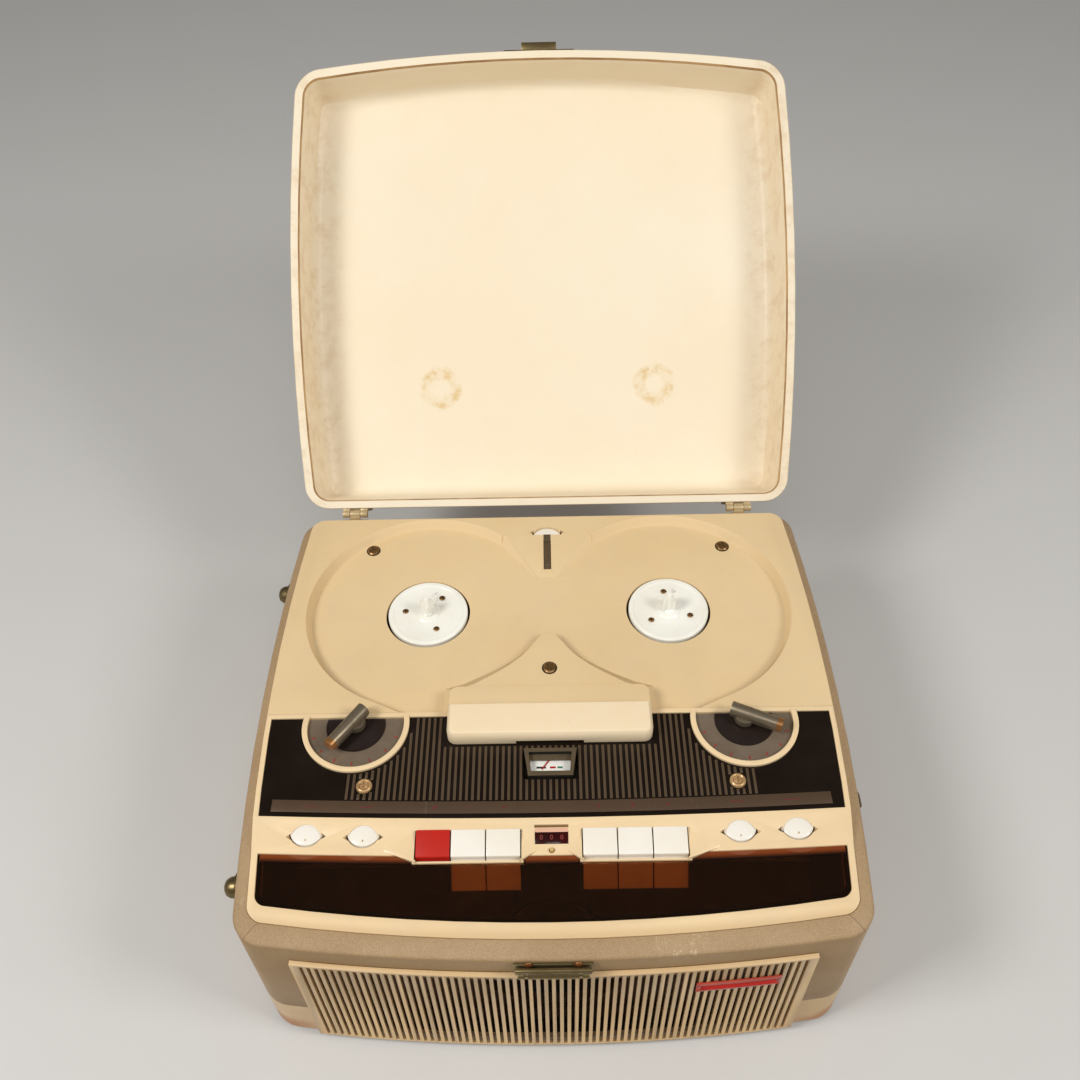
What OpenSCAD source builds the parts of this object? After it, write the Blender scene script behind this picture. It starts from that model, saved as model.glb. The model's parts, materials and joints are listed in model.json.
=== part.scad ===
/* [Case] */
// Width of the case between its corners
case_w = 393; // [386:1:405]
// Depth of the case from the back to the front corners
case_d = 353; // [348:1:362]
// How far each side bows out at mid depth
side_bow = 9; // [6:0.5:11]
// How far the front bows out at its middle
front_bow = 14; // [11:0.5:16]
// Radius of the corners in plan
corner_r = 18; // [16:1:22]
// Height of the deck surface above the floor
deck_z = 152; // [149:1:165]
// Thickness of the case walls
wall = 10; // [9:0.25:10.5]
// Height of the rubber feet
foot_h = 6; // [4:0.5:8]
// Height of the cream band round the foot of the case
plinth_h = 40; // [30:1:48]
// Thickness of the base panel
base_t = 5; // [4:0.5:7]

/* [Lid] */
// Height of the closed lid above its rim
lid_depth = 50; // [46:1:60]
// Thickness of the lid shell
lid_wall = 3; // [2:0.25:3.5]
// Thickness of the rim under the shell
lip_t = 3; // [2:0.25:4]
// Angle between the closed and the open lid
lid_open = 134.7; // [120:0.1:140]
// Radius of the hinge pins
pin_r = 1.5; // [1.2:0.1:1.8]
// Radius of the hinge knuckles
knuckle_r = 3; // [2.6:0.1:3.4]
// Distance of each hinge from the middle, as a share of the case width
hinge_share = 0.4; // [0.33:0.005:0.42]

/* [Deck] */
// Distance between the two spool spindles
hub_spacing = 182; // [180:0.5:183]
// Distance of the spindles from the back of the case, as a share of its depth
hub_share = 0.2847; // [0.27:0.0005:0.29]
// Depth of the spool wells
well_depth = 8; // [6:0.5:9]
// How much narrower the wells are at their floor
well_slope = 3.5; // [2:0.25:5]
// Thickness of the deck moulding
deck_t = 3; // [2:0.25:3.5]
// Radius of the turntables
hub_r = 30; // [27:0.5:32]
// Height of a spindle above its turntable
spindle_h = 17; // [12:0.5:20]
// Radius of the spindle core
spindle_r = 3.2; // [2.8:0.1:3.8]
// Half width of the head cover
cover_hw = 70; // [66:1:74]
// Height of the head cover above the deck
cover_h = 12; // [9:0.5:16]
// Height of the roller cover above the deck
pad_h = 4; // [3:0.25:5]

/* [Controls] */
// Distance from the back of the case to the dark panel, as a share of its depth
panel_share = 0.5595; // [0.555:0.0005:0.564]
// Distance from the back to the ends of the key strip, as a share of the depth
strip_share = 0.7748; // [0.77:0.0005:0.779]
// Slope length of the key strip, seen from above
strip_run = 22; // [21:0.5:23]
// Height that the key strip falls
strip_drop = 5.5; // [5:0.25:6]
// How far the key strip bows forward
strip_bow = 4.5; // [3:0.5:6]
// Width of a key
key_w = 21.8; // [20:0.1:22]
// Gap between two keys
key_gap = 0.7; // [0.6:0.05:1.2]
// Distance of the middle keys from the centre line
bank_x = 53.4; // [52:0.2:55]
// Radius of an edge thumbwheel
wheel_r = 10.9; // [10.4:0.1:11.4]
// Thickness of an edge thumbwheel's cap
wheel_t = 3.4; // [2.6:0.1:3.6]
// Height of an edge thumbwheel's drum
wheel_h = 15; // [13:0.5:15.5]
// Distance of the inner thumbwheels from the centre line, as a share of the case width
near_share = 0.308; // [0.304:0.001:0.314]
// Distance of the outer thumbwheels from the centre line, as a share of the case width
far_share = 0.402; // [0.396:0.001:0.406]
// Distance of the dials from the centre line, as a share of the case width
dial_share = 0.341; // [0.332:0.001:0.35]
// Outer radius of a dial rim
dial_r = 37; // [33:0.5:38]
// Length of a bar knob
knob_len = 36; // [30:0.5:38]
// Number of ribs on the dark panel
rib_n = 63; // [41:2:71]

/* [Grille] */
// Width of the loudspeaker grille, as a share of the case width
grille_share = 0.827; // [0.77:0.001:0.838]
// Height of the loudspeaker grille
grille_h = 120; // [110:1:122]
// Number of openings between the slats
slot_n = 66; // [40:1:70]
// Height of the plain edge above and below the openings
grille_edge = 2; // [1.5:0.25:4]
// Width of an opening as a share of the slat spacing
slot_share = 0.46; // [0.3:0.02:0.6]

/* [Drive] */
// Radius of the flywheel
flywheel_r = 38; // [34:0.5:40]
// Radius of the motor pulley
pulley_r = 7; // [6:0.25:9]
// Radius of the motor
motor_r = 34; // [28:0.5:36]
// Radius of the capstan
capstan_r = 2.5; // [2.2:0.1:2.8]
// Radius of the loudspeaker
speaker_r = 52; // [45:0.5:53]

/* [Clearances] */
// Gap between fixed pieces
fit = 0.3; // [0.2:0.05:0.4]
// Gap round moving pieces
gap = 0.5; // [0.4:0.05:0.7]
// Gap seen round the thumbwheels
wheel_gap = 0.8; // [0.6:0.1:1.2]
// Radial running clearance of shafts in their bores
run = 0.05; // [0.02:0.01:0.08]

/* [Hidden] */
$fn = 72;

// Reference levels and lines, worked out from the sizes above
y_back = (case_d + front_bow) / 2;
plinth_t = 1.2;
plinth_top = foot_h + plinth_h;
base_z = foot_h + base_t;
seat_z = deck_z - 8;
edge_z = deck_z - 9;
rim_z = deck_z - 6;
lip_z = rim_z + lip_t;
lid_top = rim_z + lid_depth;
hinge_x = case_w * hinge_share;
hinge_y = y_back + 4.5;
hinge_z = rim_z - 0.5;
deck_inset = 8.5;
deck_front = 3.7;
min_r = 5;
hub_x = hub_spacing / 2;
hub_from_back = case_d * hub_share;
hub_y = y_back - hub_from_back;
hub_top = deck_z - well_depth + 1.5;
hub_t = 6.5;
hub_turns = [35, 95];
well_z = deck_z - well_depth;
well_edge = 1;
well_r = min(hub_x, hub_from_back - deck_inset - well_edge, case_w / 2 - deck_inset - hub_x + side_bow / 2);
floor_z = well_z - deck_t;
panel_y = y_back - case_d * panel_share;
split_y = panel_y + 3;
border = 0.6;
tip_y = panel_y + 71.4;
tongue_y = y_back - 66;
crease_y = y_back - 28.5;
crease_hw = 33;
panel_t = 1.2;
panel_top = deck_z - 0.8;
rib_h = 0.7;
side_rim = 3.2;
front_rim = 6.65;
strip_flat = 0.8;
strip_nose = 0.4;
ledge = 3;
frame_z = seat_z - 3;
strip_y = y_back - case_d * strip_share;
front_z = deck_z - strip_drop;
smoked_t = 2;
smoked_top = front_z - 1;
chassis_z = deck_z - 30;
chassis_t = 2;
chassis_top = chassis_z + chassis_t;
cover_back = panel_y + 3;
cover_d = 27;
head_hw = 62;
pad_front = cover_back + 2;
pad_back = pad_front + 16;
head_base = chassis_top + 14;
capstan = [34, panel_y - 1];
roller_r = 5;
roller_at = capstan + [0, capstan_r + roller_r + 3.3];
arm_pivot = roller_at + [22, 0];
motor_at = [-70, panel_y + 4];
drive_z = chassis_z - 30;
flywheel_t = 14;
pulley_top = drive_z + 13;
dial_x = case_w * dial_share;
dial_y = panel_y - 7;
dial_in = dial_r - 3.6;
knob_angles = [234.5, 336];
dial_z = deck_z - 3;
wheel_z = deck_z - 5.8;
wheel_top = deck_z - 1.4;
wheel_dome = 31;
wheel_ahead = 6.4;
ear_r = 2.4;
wheel_near = case_w * near_share;
wheel_far = case_w * far_share;
rod_y = strip_y + 24;
rod_z = chassis_top + 8;
rod_r = 3;
key_pitch = key_w + key_gap;
key_top = strip_y - strip_bow - 6.9;
key_front = key_top - 16.8;
speed_at = [0, crease_y - 3];
speed_r = 11.8;
speed_z = well_z + 1;
speed_t = 5.1;
speed_foot = 2.4;
speed_span = 66;
grille_w = case_w * grille_share;
grille_z = foot_h + 1;
grille_t = 3;
baffle_hw = case_w * 0.407;
baffle_h = grille_h - 8;
speaker_z = base_z + fit + baffle_h / 2;
handle_y = front_bow / 2;
handle_hw = 60;
handle_z = 95;

// Points of a quarter turn about c, starting at angle a0
function arc(c, r, a0, n) = [for (k = [0:n]) c + r * [cos(a0 + 90 * k / n), sin(a0 + 90 * k / n)]];
// Points between p and q
function inner(p, q, n) = [for (k = [1:n - 1]) p + (q - p) * k / n];
// Rounded rectangle with half sizes a and b
function ring(a, b, r) = concat(
    arc([a - r, b - r], r, 0, 7), arc([r - a, b - r], r, 90, 7),
    inner([-a, b - r], [-a, r - b], 8), arc([r - a, r - b], r, 180, 7),
    inner([r - a, -b], [a - r, -b], 12), arc([a - r, r - b], r, 270, 7),
    inner([a, r - b], [a, b - r], 8));
// The same point after the sides and the front are bowed out
function bowed(p, a, b) = [
    p.x + side_bow * p.x / a * (1 - pow(p.y / b, 2)),
    p.y - front_bow * max(0, -p.y / b) * (1 - pow(p.x / a, 2))];
// Plan outline of the case, inset by i all round and by f more at the front
function plan(i, f = 0) =
    let (a = case_w / 2 - i, b = case_d / 2 - i - f / 2, r = max(corner_r - i, min_r))
    [for (p = ring(a, b, r)) bowed(p, a, b) + [0, front_bow / 2 + f / 2]];
// Surface of the side walls and of the front wall
function side_x(y) = case_w / 2 + side_bow * (1 - pow((y - front_bow / 2) / (case_d / 2), 2));
function side_turn(y) = atan(2 * side_bow * (y - front_bow / 2) / pow(case_d / 2, 2));
function front_y(x, i = 0) = front_bow / 2 + i - case_d / 2
    - front_bow * (1 - pow(x / (case_w / 2 - i), 2));
// Line of the key strip, d in front of its upper edge
function strip_at(x, d) = strip_y - d - strip_bow * (1 - pow(x / (case_w / 2), 2));
function strip_top(d) = deck_z - strip_drop * d / strip_run;

module slab(i, z0, z1, f = 0) {
    translate([0, 0, z0]) linear_extrude(z1 - z0) polygon(plan(i, f));
}

// Solid through plan outlines, each level given as [inset, height]
module loft(levels) {
    rings = [for (l = levels) [for (p = plan(l[0])) [p.x, p.y, l[1]]]];
    skin(rings);
}

// Closed skin over rings of equal length
module skin(rings) {
    n = len(rings[0]);
    m = len(rings);
    sides = [for (k = [0:m - 2], i = [0:n - 1], h = [0, 1])
        let (a = k * n + i, b = k * n + (i + 1) % n)
        h == 0 ? [a, a + n, b + n] : [a, b + n, b]];
    polyhedron([for (r = rings, p = r) p],
        concat([[for (i = [0:n - 1]) i]], sides, [[for (i = [n - 1:-1:0]) (m - 1) * n + i]]));
}

// Bar across the case with the profile [y, z, bow share]
module bowed_bar(profile, hw) {
    skin([for (k = [-8:8]) [for (p = profile)
        [k * hw / 8, p[0] - p[2] * strip_bow * (1 - pow(k * hw / 4 / case_w, 2)), p[1]]]]);
}

// Upright band between the straight line y0 and the key strip's line at d
module band(y0, d, z0, z1) {
    hw = case_w * 0.55;
    line = [for (k = [-10:10]) [k * hw / 10, strip_at(k * hw / 10, d)]];
    translate([0, 0, z0]) linear_extrude(z1 - z0) polygon(concat(line, [[hw, y0], [-hw, y0]]));
}

module lid_pose() {
    translate([0, hinge_y, hinge_z]) rotate([-lid_open, 0, 0]) translate([0, -hinge_y, -hinge_z])
        children();
}

module along_x(x, y, z) translate([x, y, z]) rotate([0, 90, 0]) children();

module on_hubs() for (s = [-1, 1]) translate([s * hub_x, hub_y, 0]) children();

module case_shell() color([0.66, 0.56, 0.42]) difference() {
    loft([[plinth_t, foot_h], [plinth_t, plinth_top], [0, plinth_top], [0, edge_z - 2], [0.7, edge_z - 0.5],
        [2, edge_z + 0.3], [deck_inset - 1, rim_z - 0.6], [deck_inset + 1, rim_z - 0.4]]);
    slab(wall, 0, seat_z + 0.01);
    slab(deck_inset - fit, seat_z, deck_z, deck_front);
    translate([-150, -y_back - 20, base_z + 7]) cube([300, 60, grille_h - 24]);
    translate([socket_x - fit, y_back - 30, socket_z - fit])
        cube([socket_w + 2 * fit, 60, socket_h + 2 * fit]);
}
socket_x = 30;
socket_z = 40;
socket_w = 118;
socket_h = 34;

module plinth_band() color([0.9, 0.84, 0.7]) difference() {
    slab(0, foot_h, plinth_top);
    slab(plinth_t - 0.1, foot_h - 1, plinth_top + 1);
    translate([-grille_w / 2 - fit, -y_back - 20, 0]) cube([grille_w + 2 * fit, 60, plinth_top + 1]);
}

module base_panel() color([0.35, 0.25, 0.17]) difference() {
    slab(wall + fit, foot_h, base_z);
    for (k = [-3:3]) translate([k * 16 + 80, 60, 0]) cube([3.5, 70, base_z + 1]);
}

module rubber_feet() color([0.12, 0.12, 0.12]) for (sx = [-1, 1], sy = [-1, 1])
    translate([sx * (case_w / 2 - 32), front_bow / 2 + sy * (case_d / 2 - 34), 0])
        cylinder(h = foot_h, r1 = 10, r2 = 12);

baffle_y = front_y(baffle_hw, wall) + fit;
baffle_t = 6;

module baffle_board() color([0.1, 0.09, 0.08]) difference() {
    translate([-baffle_hw, baffle_y, base_z + fit]) cube([2 * baffle_hw, baffle_t, baffle_h]);
    translate([0, baffle_y - 1, speaker_z]) rotate([-90, 0, 0]) cylinder(h = baffle_t + 2, r = speaker_r - 6);
}

module on_speaker() translate([0, baffle_y + baffle_t, speaker_z]) rotate([-90, 0, 0]) children();

magnet_r = 28;
magnet_t = 18;
basket_d = 34;

module speaker_basket() color([0.25, 0.25, 0.27]) on_speaker() rotate_extrude() polygon([
    [speaker_r - 6, 0], [speaker_r + 2.5, 0], [speaker_r + 2.5, 2], [speaker_r - 2.5, 2], [magnet_r - 4, basket_d],
    [magnet_r, basket_d], [magnet_r, basket_d + magnet_t], [0, basket_d + magnet_t], [0, basket_d - 1.5],
    [magnet_r - 7.5, basket_d - 1.5]]);

module speaker_cone() color([0.16, 0.14, 0.12]) on_speaker() rotate_extrude() polygon([
    [speaker_r - 7, 0], [speaker_r - 7, 0.8], [15, 21], [15, 24], [0, 24], [0, 22.8], [13.8, 22.8],
    [13.8, 20.2], [speaker_r - 8.7, 0]]);

module speaker_grille() color([0.95, 0.9, 0.76]) difference() {
    line = [for (k = [-12:12]) k * grille_w / 24];
    translate([0, 0, grille_z]) linear_extrude(grille_h) polygon(concat(
        [for (x = line) [x, front_y(x) - fit - grille_t]],
        [for (k = [24:-1:0]) [line[k], front_y(line[k]) - fit]]));
    pitch = (grille_w - 8) / (slot_n + slot_share / 2);
    for (k = [0:slot_n - 1])
        translate([(k - (slot_n - 1) / 2) * pitch - pitch * slot_share / 2, -y_back - 20, grille_z + grille_edge])
            cube([pitch * slot_share, 50, grille_h - 2 * grille_edge]);
}

catch_w = 48;
knuckle_x = catch_w / 2 - 4.5;
lever_hw = knuckle_x - 4;
catch_z = grille_z + grille_h + 3.5;
lever_y = front_y(0) - fit - 4.2;
lever_r = 1.1;

module catch_plate() color([0.36, 0.31, 0.22]) difference() {
    union() {
        translate([-catch_w / 2, front_y(0) - fit - 1.6, catch_z]) cube([catch_w, 1.6, 11.5]);
        for (s = [-1, 1]) translate([s * knuckle_x - 2, 0, 0]) {
            along_x(0, lever_y, catch_z + 2.5) cylinder(h = 4, r = 2.2);
            translate([0, lever_y, catch_z + 0.3]) cube([4, 4, 4.4]);
        }
    }
    along_x(-catch_w / 2, lever_y, catch_z + 2.5) cylinder(h = catch_w, r = lever_r + run);
}

module catch_lever() color([0.5, 0.42, 0.28]) {
    along_x(-knuckle_x - 2, lever_y, catch_z + 2.5) cylinder(h = 2 * knuckle_x + 4, r = lever_r);
    along_x(-lever_hw, lever_y, catch_z + 2.5) cylinder(h = 2 * lever_hw, r = 2.2);
    translate([-lever_hw, lever_y - 1, catch_z + 3]) cube([2 * lever_hw, 2, 3]);
    translate([1 - catch_w / 2, lever_y - 1, catch_z + 5.5]) cube([catch_w - 2, 2, 5.5]);
    along_x(1 - catch_w / 2, lever_y - 0.7, catch_z + 11) cylinder(h = catch_w - 2, r = 1.7);
}

glide_ys = [y_back - case_d * 0.193, y_back - case_d * 0.881];
glide_zs = [deck_z - 22, plinth_top + 14];

module side_glides() color([0.4, 0.32, 0.2]) for (y = glide_ys, z = glide_zs)
    translate([-side_x(y), y, z]) rotate([0, 0, -side_turn(y)]) translate([-fit, 0, 0]) rotate([0, -90, 0])
        rotate_extrude() polygon([[0, 0], [9, 0], [9, 1.2], [7.2, 2], [6.6, 5.5], [5, 8], [2.5, 9.2], [0, 9.5]]);

handle_x = side_x(handle_y + handle_hw) + 9;
handle_drop = 30;
handle_pin = 3;

module handle_brackets() color([0.36, 0.31, 0.22]) difference() {
    for (s = [-1, 1]) {
        translate([side_x(handle_y + s * handle_hw), handle_y + s * handle_hw, handle_z])
            rotate([0, 0, side_turn(handle_y + s * handle_hw)])
                translate([fit, -9, -14]) cube([3, 18, 28]);
        translate([handle_x, handle_y + s * handle_hw + 5, handle_z]) rotate([90, 0, 0]) cylinder(h = 10, r = 5);
        translate([handle_x - 7.5, handle_y + s * handle_hw - 5, handle_z - 4]) cube([7.5, 10, 8]);
    }
    translate([handle_x, handle_y + handle_hw + 20, handle_z]) rotate([90, 0, 0])
        cylinder(h = 2 * handle_hw + 40, r = handle_pin + run);
}

module carry_handle() color([0.55, 0.45, 0.32]) {
    for (s = [-1, 1]) {
        translate([handle_x, handle_y + s * (handle_hw - 1) + 6.5, handle_z]) rotate([90, 0, 0])
            cylinder(h = 13, r = handle_pin);
        translate([handle_x, handle_y + s * (handle_hw - 9.5), handle_z - handle_drop])
            cylinder(h = handle_drop, r = 4);
        translate([handle_x, handle_y + s * (handle_hw - 9.5), handle_z]) sphere(r = 4);
    }
    translate([handle_x, handle_y + handle_hw - 4, handle_z - handle_drop]) rotate([90, 0, 0])
        cylinder(h = 2 * handle_hw - 8, r = 6.5);
}

leaf_w = 20;
leaf_t = 2;
knuckle_w = 8;

module case_hinges() color([0.6, 0.55, 0.42]) for (s = [-1, 1]) translate([s * hinge_x, 0, 0]) {
    translate([-leaf_w / 2, y_back + 0.1, hinge_z - knuckle_r - 0.7 - 22]) cube([leaf_w, leaf_t, 22]);
    translate([-knuckle_w / 2, y_back + 0.1, hinge_z - 5]) cube([knuckle_w, leaf_t, 5]);
    along_x(-knuckle_w / 2, hinge_y, hinge_z) cylinder(h = knuckle_w, r = knuckle_r);
    along_x(-leaf_w / 2, hinge_y, hinge_z) cylinder(h = leaf_w, r = pin_r);
}

module lid_hinges() color([0.6, 0.55, 0.42]) lid_pose() for (s = [-1, 1]) translate([s * hinge_x, 0, 0])
    difference() {
        union() {
            translate([-leaf_w / 2, y_back + 0.1, lip_z + 0.7]) cube([leaf_w, leaf_t, 22]);
            for (t = [0, 1]) mirror([t, 0, 0]) {
                translate([knuckle_w / 2 + 0.4, y_back + 0.1, hinge_z])
                    cube([leaf_w / 2 - knuckle_w / 2 - 0.4, leaf_t, 5]);
                along_x(knuckle_w / 2 + 0.4, hinge_y, hinge_z)
                    cylinder(h = leaf_w / 2 - knuckle_w / 2 - 0.4, r = knuckle_r);
            }
        }
        along_x(-leaf_w, hinge_y, hinge_z) cylinder(h = 2 * leaf_w, r = pin_r + run);
    }

module lid_shell() color([0.66, 0.56, 0.42]) lid_pose() difference() {
    loft([[0, lip_z], [0, lid_top - 12], [1, lid_top - 6.5], [3.5, lid_top - 3], [7, lid_top - 0.9], [12, lid_top]]);
    loft([[lid_wall, lip_z - 1], [lid_wall, lid_top - 12], [lid_wall + 2, lid_top - 7],
        [lid_wall + 6, lid_top - lid_wall - 1], [lid_wall + 10, lid_top - lid_wall]]);
}

module lid_liner() color([0.98, 0.94, 0.84]) lid_pose() difference() {
    loft([[0.6, rim_z], [0, rim_z + 0.8], [0, lip_z], [lid_wall + fit, lip_z], [lid_wall + 3, lid_top - 16],
        [lid_wall + 10, lid_top - lid_wall - fit]]);
    loft([[6.2, rim_z - 1], [6.2, rim_z], [7.2, rim_z + 2.4], [8, rim_z + 9], [10, lid_top - 16],
        [12, lid_top - 9], [17, lid_top - lid_wall - fit - 2]]);
    difference() {
        loft([[rim_groove, rim_z - 1], [rim_groove, rim_z + 2]]);
        loft([[rim_groove + 0.8, rim_z - 2], [rim_groove + 0.8, rim_z + 3]]);
    }
}
rim_groove = 4.4;

hook_w = 57;

module lid_catch() color([0.5, 0.42, 0.28]) lid_pose() {
    translate([-hook_w / 2, front_y(0) - fit - 1.6, lip_z + 1]) cube([hook_w, 1.6, 15]);
    translate([-14, front_y(0) - fit - 4.6, rim_z + 1.5]) cube([28, 4.6 - fit, 5]);
    translate([-14, front_y(0) - fit - 6.5, rim_z + 1.5]) cube([28, 2, 9]);
}

module socket_panel() color([0.15, 0.14, 0.13]) difference() {
    translate([socket_x, y_back - 17, socket_z]) cube([socket_w, 15, socket_h]);
    for (k = [0:2]) translate([socket_x + 18 + k * 22, y_back, socket_z + socket_h / 2]) rotate([90, 0, 0])
        cylinder(h = 12, r = 7);
    translate([socket_x + 80, y_back - 14, socket_z + 10]) cube([28, 20, 14]);
}

chassis_hw = case_w * 0.4275;
chassis_y = strip_y - strip_run;
chassis_d = speed_at.y + 12 - chassis_y;

module chassis_plate() color([0.62, 0.63, 0.64]) {
    difference() {
        translate([-chassis_hw, chassis_y, chassis_z]) cube([2 * chassis_hw, chassis_d, chassis_t]);
        on_hubs() translate([0, 0, chassis_z - 1]) cylinder(h = 5, r = 7);
        translate([capstan.x, capstan.y, chassis_z - 1]) cylinder(h = 5, r = 6);
    }
    for (s = [-1, 1], p = [[hub_x + 2 * hub_r - 2, hub_y], [hub_x, hub_y + 2 * hub_r - 4]])
        translate([s * p.x, p.y, chassis_top - 0.1]) cylinder(h = floor_z - chassis_top + 0.1, r = 5);
}

// Right half of the land in front of the wells, as shares of the cover's width and of the way to its tip
land_line = [[0.95, 0], [0.77, 0.09], [0.56, 0.27], [0.41, 0.415], [0.29, 0.56], [0.2, 0.71], [0.13, 0.85],
    [0.07, 0.965], [0, 1]];
// How far the land's sides spread between the deck and the well floor
land_spread = 11;
function land_at(p, w, z) =
    let (k = w * (1 - 0.75 * p.y))
    [p.x * cover_hw + (p.x > 0 ? 0.75 * k : 0), pad_back + p.y * (tip_y - pad_back) + 0.6 * k, z];
function land(w, z) =
    let (half = [for (p = land_line) land_at(p, w, z)], n = len(half) - 1)
    concat([[half[0].x, pad_front, z]], half, [for (k = [n - 1:-1:0]) [-half[k].x, half[k].y, z]],
        [[-half[0].x, pad_front, z]]);

// Ramp from the rear land down to the floor between the wells
module tongue() {
    foot = crease_hw + 7;
    skin([for (e = [[crease_y + 0.01, crease_hw, foot, deck_z + 0.02], [tongue_y, 6.5, 9, well_z + 0.1]])
        [[e[2], e[0], well_z - 0.2], [e[1], e[0], e[3]], [-e[1], e[0], e[3]], [-e[2], e[0], well_z - 0.2]]]);
}

// Raised cover of the pinch roller, with rounded rear corners
module pad(z0, z1) {
    r = 6;
    translate([0, 0, z0]) linear_extrude(z1 - z0) polygon(concat(
        [[-cover_hw, split_y - 1], [cover_hw, split_y - 1]],
        arc([cover_hw - r, pad_back - r], r, 0, 5), arc([r - cover_hw, pad_back - r], r, 90, 5)));
}

// Room above the floor of both wells, which meet between the two lands
module wells() difference() {
    union() {
        on_hubs() translate([0, 0, well_z]) cylinder(h = well_depth + 0.01, r1 = well_r - well_slope, r2 = well_r);
        translate([-crease_hw - 3, tip_y - 5, well_z])
            cube([2 * crease_hw + 6, crease_y - tip_y + 5, well_depth + 0.01]);
        for (s = [0, 1]) mirror([s, 0, 0]) translate([0, 0, well_z]) linear_extrude(well_depth + 0.01) polygon([
            [cover_hw, split_y - 1], [hub_x + 12, split_y - 1], [hub_x + 0.47 * well_r, hub_y - 0.88 * well_r],
            [hub_x, hub_y - 0.7 * well_r], [cover_hw, pad_back + 8]]);
    }
    skin([land(land_spread, well_z - 0.2), land(0, deck_z + 0.02)]);
    tongue();
    pad(floor_z, deck_z + 1);
}

module deck_plate() color([0.88, 0.77, 0.59]) difference() {
    union() {
        difference() {
            slab(deck_inset, seat_z, deck_z, deck_front);
            slab(deck_inset + deck_t, seat_z - 1, deck_z - deck_t, deck_front);
        }
        intersection() {
            union() {
                on_hubs() translate([0, 0, floor_z]) cylinder(h = deck_z - floor_z, r = well_r + 1.5);
                translate([-crease_hw - 7, tip_y - 15, floor_z])
                    cube([2 * crease_hw + 14, crease_y - tip_y + 17, deck_z - floor_z]);
                for (s = [-1, 1]) translate([s * (hub_x - 3.5) - 18, split_y - 5, floor_z])
                    cube([36, 45, deck_z - floor_z]);
            }
            union() {
                slab(deck_inset, seat_z, deck_z, deck_front);
                slab(wall + fit, floor_z, seat_z);
            }
        }
        pad(deck_z - deck_t, deck_z + pad_h);
    }
    translate([-case_w, split_y - case_d, 0]) cube([2 * case_w, case_d, 2 * deck_z]);
    wells();
    on_hubs() translate([0, 0, floor_z - 1]) cylinder(h = 10, r = hub_r + 1.8);
    translate([-head_hw, panel_y - 1, seat_z - 10]) cube([2 * head_hw, pad_back - panel_y - 2, 10 + 8 + pad_h - 2.5]);
    translate([0, crease_y, deck_z]) rotate([atan(well_depth / (crease_y - tongue_y)), 0, 0])
        translate([-3, tongue_y - crease_y + 6, -1.2]) cube([6, crease_y - tongue_y - 11, 5]);
    translate([speed_at.x, speed_at.y, 0]) {
        cylinder(h = speed_z + speed_foot + gap, r = 6);
        intersection() {
            translate([0, 0, speed_z - gap]) cylinder(h = speed_t + gap + fit, r = speed_r + gap);
            translate([-case_w, -gap, 0]) cube([2 * case_w, case_d, 2 * deck_z]);
        }
        intersection() {
            union() {
                translate([0, 0, speed_z]) cylinder(h = deck_z, r = speed_r + gap);
                ears(speed_r, crease_y - speed_at.y + 3, speed_z);
            }
            translate([-case_w, crease_y - speed_at.y + fit, 0]) cube([2 * case_w, case_d, 2 * deck_z]);
        }
    }
}

// Pointed ends of a wheel's opening, r to each side of its axis and y behind it
module ears(r, y, z) for (e = [-1, 1]) translate([e * r, y, z]) rotate([0, 0, 90 - 90 * e])
    cylinder(h = deck_z, r = ear_r, $fn = 3);

module head_cover() color([0.93, 0.85, 0.7]) difference() {
    hull() {
        cover_block(0, deck_z, cover_h - 3);
        cover_block(2, deck_z, cover_h);
    }
    cover_block(2.5, deck_z - 1, cover_h - 1.5);
    translate([-head_hw, cover_back - 10, deck_z - 1]) cube([2 * head_hw, 20, cover_h - 1.5]);
    translate([-23, cover_back - cover_d - 5, deck_z - 1]) cube([46, 12, 4]);
}

module cover_block(i, z, h) {
    r = 6;
    y0 = cover_back - cover_d;
    translate([0, 0, z]) linear_extrude(h) polygon(concat(
        [[cover_hw - i, cover_back - i], [i - cover_hw, cover_back - i]],
        arc([r - cover_hw, y0 + r], r - i, 180, 4), arc([cover_hw - r, y0 + r], r - i, 270, 4)));
}

// Openings of the control frame for the keys of one bank
bank_hw = 1.5 * key_pitch + 0.4;
bank_back = key_top + 0.8;
bank_front = key_front - 2;
lip_w = 1.2;
counter_y = strip_at(0, 11.5);
button_y = strip_at(0, 19.6);

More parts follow.
